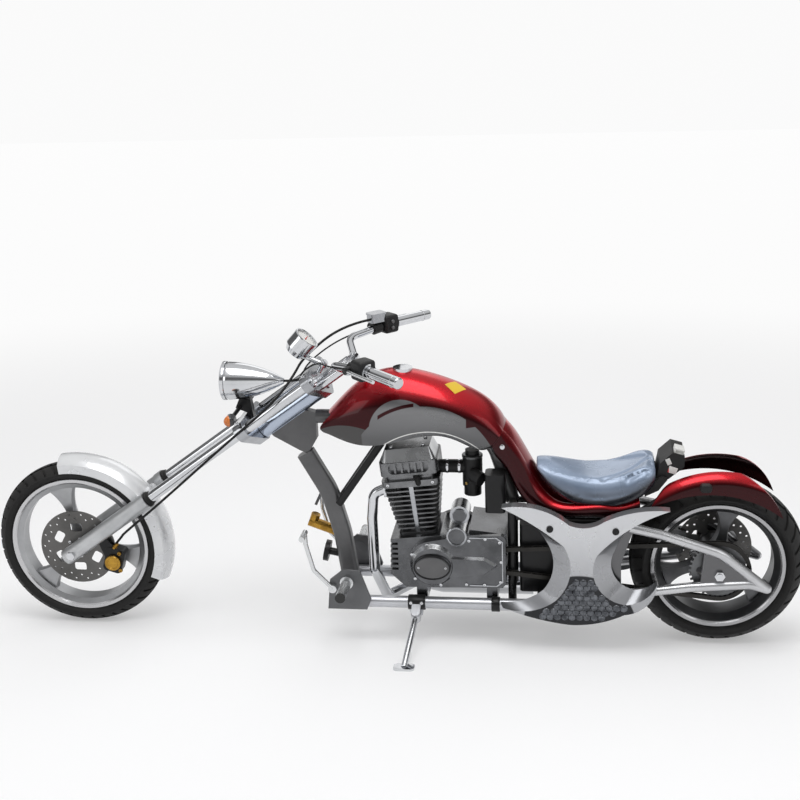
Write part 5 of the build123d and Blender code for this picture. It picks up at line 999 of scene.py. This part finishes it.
rear_rim_finish = lipped("rear_rim_finish", REAR_HUB, 0.1880, (0.40, 0.40, 0.41), (0.15, 0.152, 0.158),
                         (0.09, 0.092, 0.096))
dress(rear_rim_finish, "rear_rim")
front_rim_finish = lipped("front_rim_finish", FRONT_HUB, 0.2140, (0.56, 0.56, 0.57), (0.44, 0.445, 0.455),
                          (0.32, 0.325, 0.335))
dress(front_rim_finish, "front_rim")

# Brake discs: drilled steel rings, held to the hubs by five socket screws each. The rear caliper is a
# dark alloy block on the swingarm.
brake_steel = finish("brake_steel", (0.145, 0.142, 0.138), (0.10, 0.098, 0.095), 0.95, (0.3, 0.42), 600, 0.08)
dress(brake_steel, "front_disc", "rear_disc")
dress(dark_alloy, "rear_caliper")
screws("front_disc_bolts", 0.0052, 0.0045, bolt_circle(FRONT_HUB, 0.031, -0.053, 5), "front_wheel")
screws("rear_disc_bolts", 0.0052, 0.004, bolt_circle(REAR_HUB, 0.034, 0.091, 5), "rear_wheel")

# Tank, seat body and rear guards: pressed steel under candy red lacquer, with painted shade below the
# crease and a painted highlight above it, and a silver teardrop on each flank of the tank that lightens
# towards its top as a painted highlight, sprayed through a mask that is drawn here as circles. The
# filler cap is chromed.


def short_of(tree, value, end):
    """1 before a limit and 0 past it."""
    return beyond(tree, sums(tree, "SUBTRACT", end, value), 0.0)


body_paint, tree, shader = new_material("candy_red_silver")
x, y, z = flank(tree)
smudge, grain, _ = marked(tree, 5.0, 2600.0)
TEARDROP = (0.1253, 0.5588)
STRIPE = (0.1434, 0.4816)
teardrop = inside(tree, x, z, TEARDROP, 0.230)
nose = inside(tree, x, z, (0.0639, 0.7085), 0.0994)
slit_out = inside(tree, x, z, TEARDROP, 0.240)
slit_x = product(tree, beyond(tree, x, -0.007), short_of(tree, x, 0.103))
slit = product(tree, slit_x, sums(tree, "SUBTRACT", slit_out, teardrop))
silver = sums(tree, "MAXIMUM", teardrop, product(tree, nose, sums(tree, "SUBTRACT", 1.0, slit)))
notch_line = sums(tree, "ADD", product(tree, x, -0.1), sums(tree, "SUBTRACT", z, 0.6945))
notch = product(tree, beyond(tree, x, 0.259), beyond(tree, notch_line, 0.0))
silver = product(tree, silver, sums(tree, "SUBTRACT", 1.0, notch))
side = beyond(tree, sums(tree, "ABSOLUTE", y), 0.062, 0.004)
front = beyond(tree, x, -0.06, 0.002)
silver = product(tree, silver, side, front)
chin = inside(tree, x, z, (-0.0994, 0.5314), 0.1884)
chin = product(tree, chin, short_of(tree, x, -0.045))
# Painted shade and highlight: the red goes near black on faces that turn from the sky and bright on faces
# that look up.
red_with_painted_shade = tint(tree, ramp(tree, looks_up(tree), 0.26, 0.80), (0.028, 0.0008, 0.0022), (0.56, 0.011, 0.020))
red_with_painted_shade = tint(tree, product(tree, smudge, 0.12), red_with_painted_shade, (0.10, 0.002, 0.005))
tones = tint(tree, chin, red_with_painted_shade, (0.070, 0.068, 0.068))
# Painted highlight: the silver teardrop lightens towards its top.
silver_with_painted_highlight = tint(tree, ramp(tree, z, 0.68, 0.79), (0.098, 0.099, 0.102), (0.23, 0.232, 0.238))
silver_with_painted_highlight = tint(tree, product(tree, grain, 0.35), silver_with_painted_highlight, (0.20, 0.202, 0.207))
tones = tint(tree, silver, tones, silver_with_painted_highlight)
stripe = sums(tree, "SUBTRACT", inside(tree, x, z, STRIPE, 0.2268), inside(tree, x, z, STRIPE, 0.2236))
stripe = product(tree, stripe, beyond(tree, x, 0.0), side, short_of(tree, x, 0.325), beyond(tree, z, 0.6))
tones = tint(tree, stripe, tones, (0.78, 0.78, 0.76))
fill(tree, shader, Base_Color=tones, Roughness=ramp(tree, smudge, 0, 1, 0.24, 0.33),
     Normal=bumped(tree, grain, 0.015, 0.0005), Metallic=0.88, Coat_Weight=0.3, Coat_Roughness=0.03)
dress(body_paint, "fuel_tank", "seat_body", "rear_guard_left", "rear_guard_right")
dress(chrome, "fuel_cap")

# Tank trim: a chromed button where the seat body is screwed down, and a blank yellow paper label that
# is stuck on the tank's crown.
button = turned("tank_button", [(-0.001, 0.0), (-0.001, 0.0085), (0.002, 0.0085), (0.004, 0.0072),
                                (0.0052, 0.004), (0.0056, 0.0)], Vector((0.3654, -0.0891, 0.657)),
                Vector((0.233, -0.968, 0.087)), 28)
settle(button, "chassis", "chrome", chrome)
yellow_paper, tree, shader = new_material("yellow_paper")
fibre = put(tree, "TexNoise", Vector=place_of(tree), Scale=700.0, Detail=3.0)
fill(tree, shader, Base_Color=tint(tree, fibre.outputs[0], (0.80, 0.55, 0.03), (0.66, 0.42, 0.02)),
     Roughness=0.5)
sticker = begun("tank_label", bpy.ops.mesh.primitive_grid_add, x_subdivisions=14, y_subdivisions=14, size=1)
sticker.data.transform(Matrix.Diagonal((0.052, 0.046, 1, 1)))
sticker.data.transform(STANCE @ aimed(Vector((0.2246, -0.0291, 0.8291)), Vector((0.36, -0.26, 0.90))))


def shaped(piece, name, kind, **settings):
    """Adds a modifier with its settings to the active piece, and applies it."""
    added = piece.modifiers.new(name, kind)
    for key, value in settings.items():
        setattr(added, key, value)
    bpy.ops.object.modifier_apply(modifier=name)


shaped(sticker, "wrap", "SHRINKWRAP", target=frame["nodes"]["fuel_tank"], offset=0.0006)
shaped(sticker, "thick", "SOLIDIFY", thickness=0.0004)
sticker.data.transform(UPRIGHT)
soften(sticker, 40)
settle(sticker, "chassis", "silver_vinyl", yellow_paper)

# Seat: a solo scoop of foam under stretched silver-blue vinyl, with painted shade on the faces that
# look down, where it meets the body. The cushion swells a little over its pan, as foam does under a tight
# cover.
dress(silver_paint, "seat")
vinyl, tree, shader = new_material("silver_vinyl")
smudge, grain, _ = marked(tree, 9.0, 1400.0)
tones = tint(tree, smudge, (0.30, 0.37, 0.49), (0.20, 0.26, 0.36))
# Painted shade: the vinyl goes near black on faces that look down.
tones = tint(tree, ramp(tree, looks_up(tree), 0.42, -0.10), tones, (0.028, 0.032, 0.042))
fill(tree, shader, Base_Color=tones, Roughness=ramp(tree, smudge, 0, 1, 0.2, 0.34),
     Normal=bumped(tree, grain, 0.12, 0.0006), Metallic=0.25, Coat_Weight=0.35, Coat_Roughness=0.15)

seat_pad = bpy.data.objects.new("seat_cushion", frame["nodes"]["seat"].data.copy())
bpy.context.scene.collection.objects.link(seat_pad)
bpy.ops.object.select_all(action="DESELECT")
seat_pad.select_set(True)
bpy.context.view_layer.objects.active = seat_pad
edit_all()
bpy.ops.mesh.remove_doubles(threshold=0.0001)
bpy.ops.object.mode_set(mode="OBJECT")
CLOTH_CELL = 0.005
seat_pad.data.remesh_voxel_size = CLOTH_CELL
bpy.ops.object.voxel_remesh()
rest = [vertex.co.copy() for vertex in seat_pad.data.vertices]
flat = [vertex.normal.z < -0.15 for vertex in seat_pad.data.vertices]
SWELL = 0.0045
CLOTH_STEPS = 20
foam = seat_pad.modifiers.new("foam", "CLOTH")
foam.settings.use_pressure = True
foam.settings.uniform_pressure_force = 4.0
foam.settings.effector_weights.gravity = 0.0
for step in range(CLOTH_STEPS):
    bpy.context.scene.frame_set(step + 1)
bpy.ops.object.modifier_apply(modifier=foam.name)
for vertex, start, still in zip(seat_pad.data.vertices, rest, flat):
    move = vertex.co - start
    vertex.co = start if still else start + move.normalized() * min(move.length, SWELL)
bpy.context.scene.frame_set(1)
shaped(seat_pad, "drawn_tight", "SMOOTH", factor=0.5, iterations=7)
FOLDS = (((0.668, -0.082), (0.752, -0.046)), ((0.752, -0.046), (0.806, 0.006)),
         ((0.742, -0.098), (0.800, -0.086)), ((0.690, 0.078), (0.790, 0.030)))
FOLD_DEPTH = 0.0065
FOLD_WIDTH = 0.009
outward = [vertex.normal.copy() for vertex in seat_pad.data.vertices]
for vertex, facing in zip(seat_pad.data.vertices, outward):
    spot = UPRIGHT @ vertex.co
    depth = 0.0
    for start, end in FOLDS:
        run = Vector(end) - Vector(start)
        from_start = Vector((spot.x, spot.y)) - Vector(start)
        share = min(max(from_start.dot(run) / run.length_squared, 0.0), 1.0)
        away = (from_start - run * share).length / FOLD_WIDTH
        depth = max(depth, math.exp(-away * away) - 0.35 * math.exp(-(away - 2.1) ** 2))
    lying = min(max(2.2 * facing.z - 0.2, 0.0), 1.0)
    vertex.co -= facing * FOLD_DEPTH * depth * lying
shaped(seat_pad, "evened", "SMOOTH", factor=0.5, iterations=2)
bpy.ops.object.shade_smooth()
seat_pad.data.materials.clear()
seat_pad.data.materials.append(vinyl)
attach(seat_pad, "chassis")
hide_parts("seat")

# Tail: a black moulded tray and lamps, and the box of electrics behind the seat, with two blank paper
# labels and a white nylon connector.
dress(black_plastic, "tail_tray", "rear_lamps")
white_nylon = finish("white_nylon", (0.74, 0.74, 0.72), (0.62, 0.62, 0.60), 0.0, (0.4, 0.55), 900, 0.05)
label_paper, tree, shader = new_material("label_paper")
x, y, z = flank(tree)
fibre = put(tree, "TexNoise", Vector=place_of(tree), Scale=900.0, Detail=3.0)
paper = tint(tree, fibre.outputs[0], (0.80, 0.79, 0.77), (0.68, 0.67, 0.65))
edge = sums(tree, "LESS_THAN", x, 0.8625)
fill(tree, shader, Base_Color=tint(tree, edge, paper, (0.55, 0.03, 0.03)), Roughness=0.6)


def slab(name, size, place, turn, rim):
    """A flat block with bevelled edges, turned about the machine's cross axis."""
    block = begun(name, bpy.ops.mesh.primitive_cube_add, size=1)
    block.data.transform(Matrix.Diagonal((*size, 1)))
    edit_all()
    bpy.ops.mesh.bevel(offset=rim, segments=2)
    soften(block, 40)
    block.data.transform(Matrix.Translation(place) @ Matrix.Rotation(math.radians(turn), 4, "Y"))
    return block


BOX_SIDE = -0.062
big_label = slab("tail_label_low", (0.026, 0.0006, 0.021), Vector((0.8735, BOX_SIDE - 0.0003, 0.579)), 18,
                 0.0002)
settle(big_label, "chassis", "silver_vinyl", label_paper)
small_label = slab("tail_label_high", (0.014, 0.0006, 0.020), Vector((0.861, BOX_SIDE - 0.0003, 0.606)), -24,
                   0.0002)
settle(small_label, "chassis", "silver_vinyl", white_nylon)
connector = slab("tail_connector", (0.030, 0.044, 0.015), Vector((0.8922, -0.036, 0.6366)), 15.5, 0.0015)
pick(connector, lambda middle, normal: normal.y < -0.9)
bpy.ops.mesh.inset(thickness=0.003, depth=0)
pull(0, 0.006, 0)
soften(connector, 40)
settle(connector, "chassis", "silver_vinyl", white_nylon)

# Side panels: cast covers in silver lacquer, with painted shade in the bevelled hollows, darker towards
# the bottom and blackened at the foot. Two black slotted screws hold each one.
panel_paint, tree, shader = new_material("panel_silver")
x, y, z = flank(tree)
smudge, grain, _ = marked(tree, 5.0, 2200.0)
square_on = square_to(tree)
# Painted shade: faces that turn away from square to the side, in the bevelled hollows, go grey.
painted_hollow_shade = ramp(tree, square_on, 0.985, 0.72)
waist = ramp(tree, z, 0.44, 0.20, interpolation_type="SMOOTHSTEP")
tones = tint(tree, grain, (0.58, 0.59, 0.61), (0.68, 0.69, 0.71))
tones = tint(tree, product(tree, waist, 0.6), tones, (0.26, 0.265, 0.28))
tones = tint(tree, product(tree, painted_hollow_shade, 0.75), tones, (0.22, 0.225, 0.24))
FOOT_MIDDLE = (0.600, 0.105)
foot = inside(tree, x, z, FOOT_MIDDLE, 0.172, 0.002)
foot = product(tree, foot, sums(tree, "GREATER_THAN", square_on, 0.97))
tones = tint(tree, foot, tones, (0.012, 0.013, 0.016))
fill(tree, shader, Base_Color=tones, Roughness=ramp(tree, smudge, 0, 1, 0.24, 0.34),
     Normal=bumped(tree, grain, 0.02, 0.0005), Metallic=0.7, Coat_Weight=0.4)
dress(panel_paint, "side_panel_left", "side_panel_right")

slotted = begun("slotted_screw", bpy.ops.mesh.primitive_cylinder_add, vertices=24, radius=0.0105, depth=0.006,
                location=(0, 0, 0.003))
bpy.ops.object.transform_apply(location=True)
pick(slotted, lambda middle, normal: normal.z > 0.9)
bpy.ops.mesh.bevel(offset=0.0022, segments=3)
bpy.ops.object.mode_set(mode="OBJECT")
cutter = begun("slot_cutter", bpy.ops.mesh.primitive_cube_add, size=1, location=(0, 0, 0.006))
cutter.data.transform(Matrix.Diagonal((0.0026, 0.03, 0.005, 1)))
bpy.context.view_layer.objects.active = slotted
shaped(slotted, "slot", "BOOLEAN", object=cutter)
bpy.data.objects.remove(cutter)
soften(slotted, 35)
PANEL_FACE = 0.175
panel_spots = [(Vector((x, side * PANEL_FACE, z)), (0, side, 0))
               for side in (-1, 1) for x, z in ((0.510, 0.429), (0.705, 0.425))]
settle(spread(slotted, "panel_screws", panel_spots), "chassis", "black_paint", black_paint)

# Foot relief: staggered rows of domed scales, cast in relief on the blackened foot of each panel and
# rubbed brighter in patches.
scale_black = finish("scale_black", (0.030, 0.032, 0.037), (0.20, 0.21, 0.23), 0.85, (0.16, 0.34), 900, 0.05,
                     smudge_scale=45.0)
FOOT_R = 0.166
SCALE_R = 0.0118
ROW_PITCH = 0.0165
SCALE_PITCH = 0.0222
scale_model = begun("scale", bpy.ops.mesh.primitive_circle_add, vertices=10, radius=SCALE_R, fill_type="NGON")
edit_all()
for rise, narrow in ((0.0022, 0.86), (0.0016, 0.62)):
    pull(0, 0, rise)
    bpy.ops.transform.resize(value=(narrow, narrow, 1), center_override=(0, 0, 0))
face_out()
soften(scale_model, 40)
for side, node, name in ((-1, "side_panel_left", "foot_scales_left"),
                         (1, "side_panel_right", "foot_scales_right")):
    panel = frame["nodes"][node]
    scale_spots = []
    for row in range(-10, 11):
        for step in range(-9, 10):
            along = FOOT_MIDDLE[0] + SCALE_PITCH * (step + 0.5 * (row % 2))
            up = FOOT_MIDDLE[1] + ROW_PITCH * row
            if math.hypot(along - FOOT_MIDDLE[0], up - FOOT_MIDDLE[1]) > FOOT_R - SCALE_R:
                continue
            flat = True
            for turn in range(6):
                aside = SCALE_R * math.cos(turn * math.pi / 3)
                above = SCALE_R * math.sin(turn * math.pi / 3)
                start = STANCE @ Vector((along + aside, side * 0.30, up + above))
                hit, place, _, _ = panel.ray_cast(start, TILT.to_3x3() @ Vector((0, -side, 0)), distance=0.2)
                flat = flat and hit and abs((UPRIGHT @ place).y) > PANEL_FACE - 0.0006
            if flat:
                scale_spots.append((Vector((along, side * PANEL_FACE, up)), (0, side, 0)))
    copied = bpy.data.objects.new("scale", scale_model.data.copy())
    settle(spread(copied, name, scale_spots), "chassis", "black_paint", scale_black)
bpy.data.objects.remove(scale_model)

# Foot controls: grey painted steel plates on the rails that carry chromed, knurled pegs with black ends.
# The rear brake's gold pump sits ahead of the down tube on the right.
dress(gold_anodised, "brake_pump")
peg_finish, tree, shader = new_material("foot_control_finish")
x, y, z = flank(tree)
out = sums(tree, "ABSOLUTE", y)
smudge, grain, _ = marked(tree, 9.0, 700.0)
PEG_START, KNURL_START, PEG_END = 0.1385, 0.162, 0.2566
bright = beyond(tree, out, PEG_START, 0.0004)
rubber_end = beyond(tree, out, PEG_END, 0.0006)
tones = tint(tree, smudge, (0.16, 0.162, 0.168), (0.11, 0.112, 0.116))
tones = tint(tree, bright, tones, (0.68, 0.69, 0.70))
tones = tint(tree, rubber_end, tones, (0.01, 0.01, 0.01))
knurl = put(tree, "TexVoronoi", {"distance": "MANHATTAN"}, Vector=place_of(tree), Scale=330.0)
ridged = product(tree, knurl.outputs["Distance"], beyond(tree, out, KNURL_START, 0.001))
fill(tree, shader, Base_Color=tones, Roughness=ramp(tree, bright, 0, 1, 0.42, 0.2),
     Normal=bumped(tree, ridged, 0.6, 0.0012), Metallic=ramp(tree, rubber_end, 0, 1, 0.9, 0.0))
dress(peg_finish, "foot_control_left", "foot_control_right")

# Side stand: a forged and chromed leg with a flat foot, turning on a pin between the cradle's two lugs.
# It carries the machine's lean.
dress(chrome, "stand_leg")
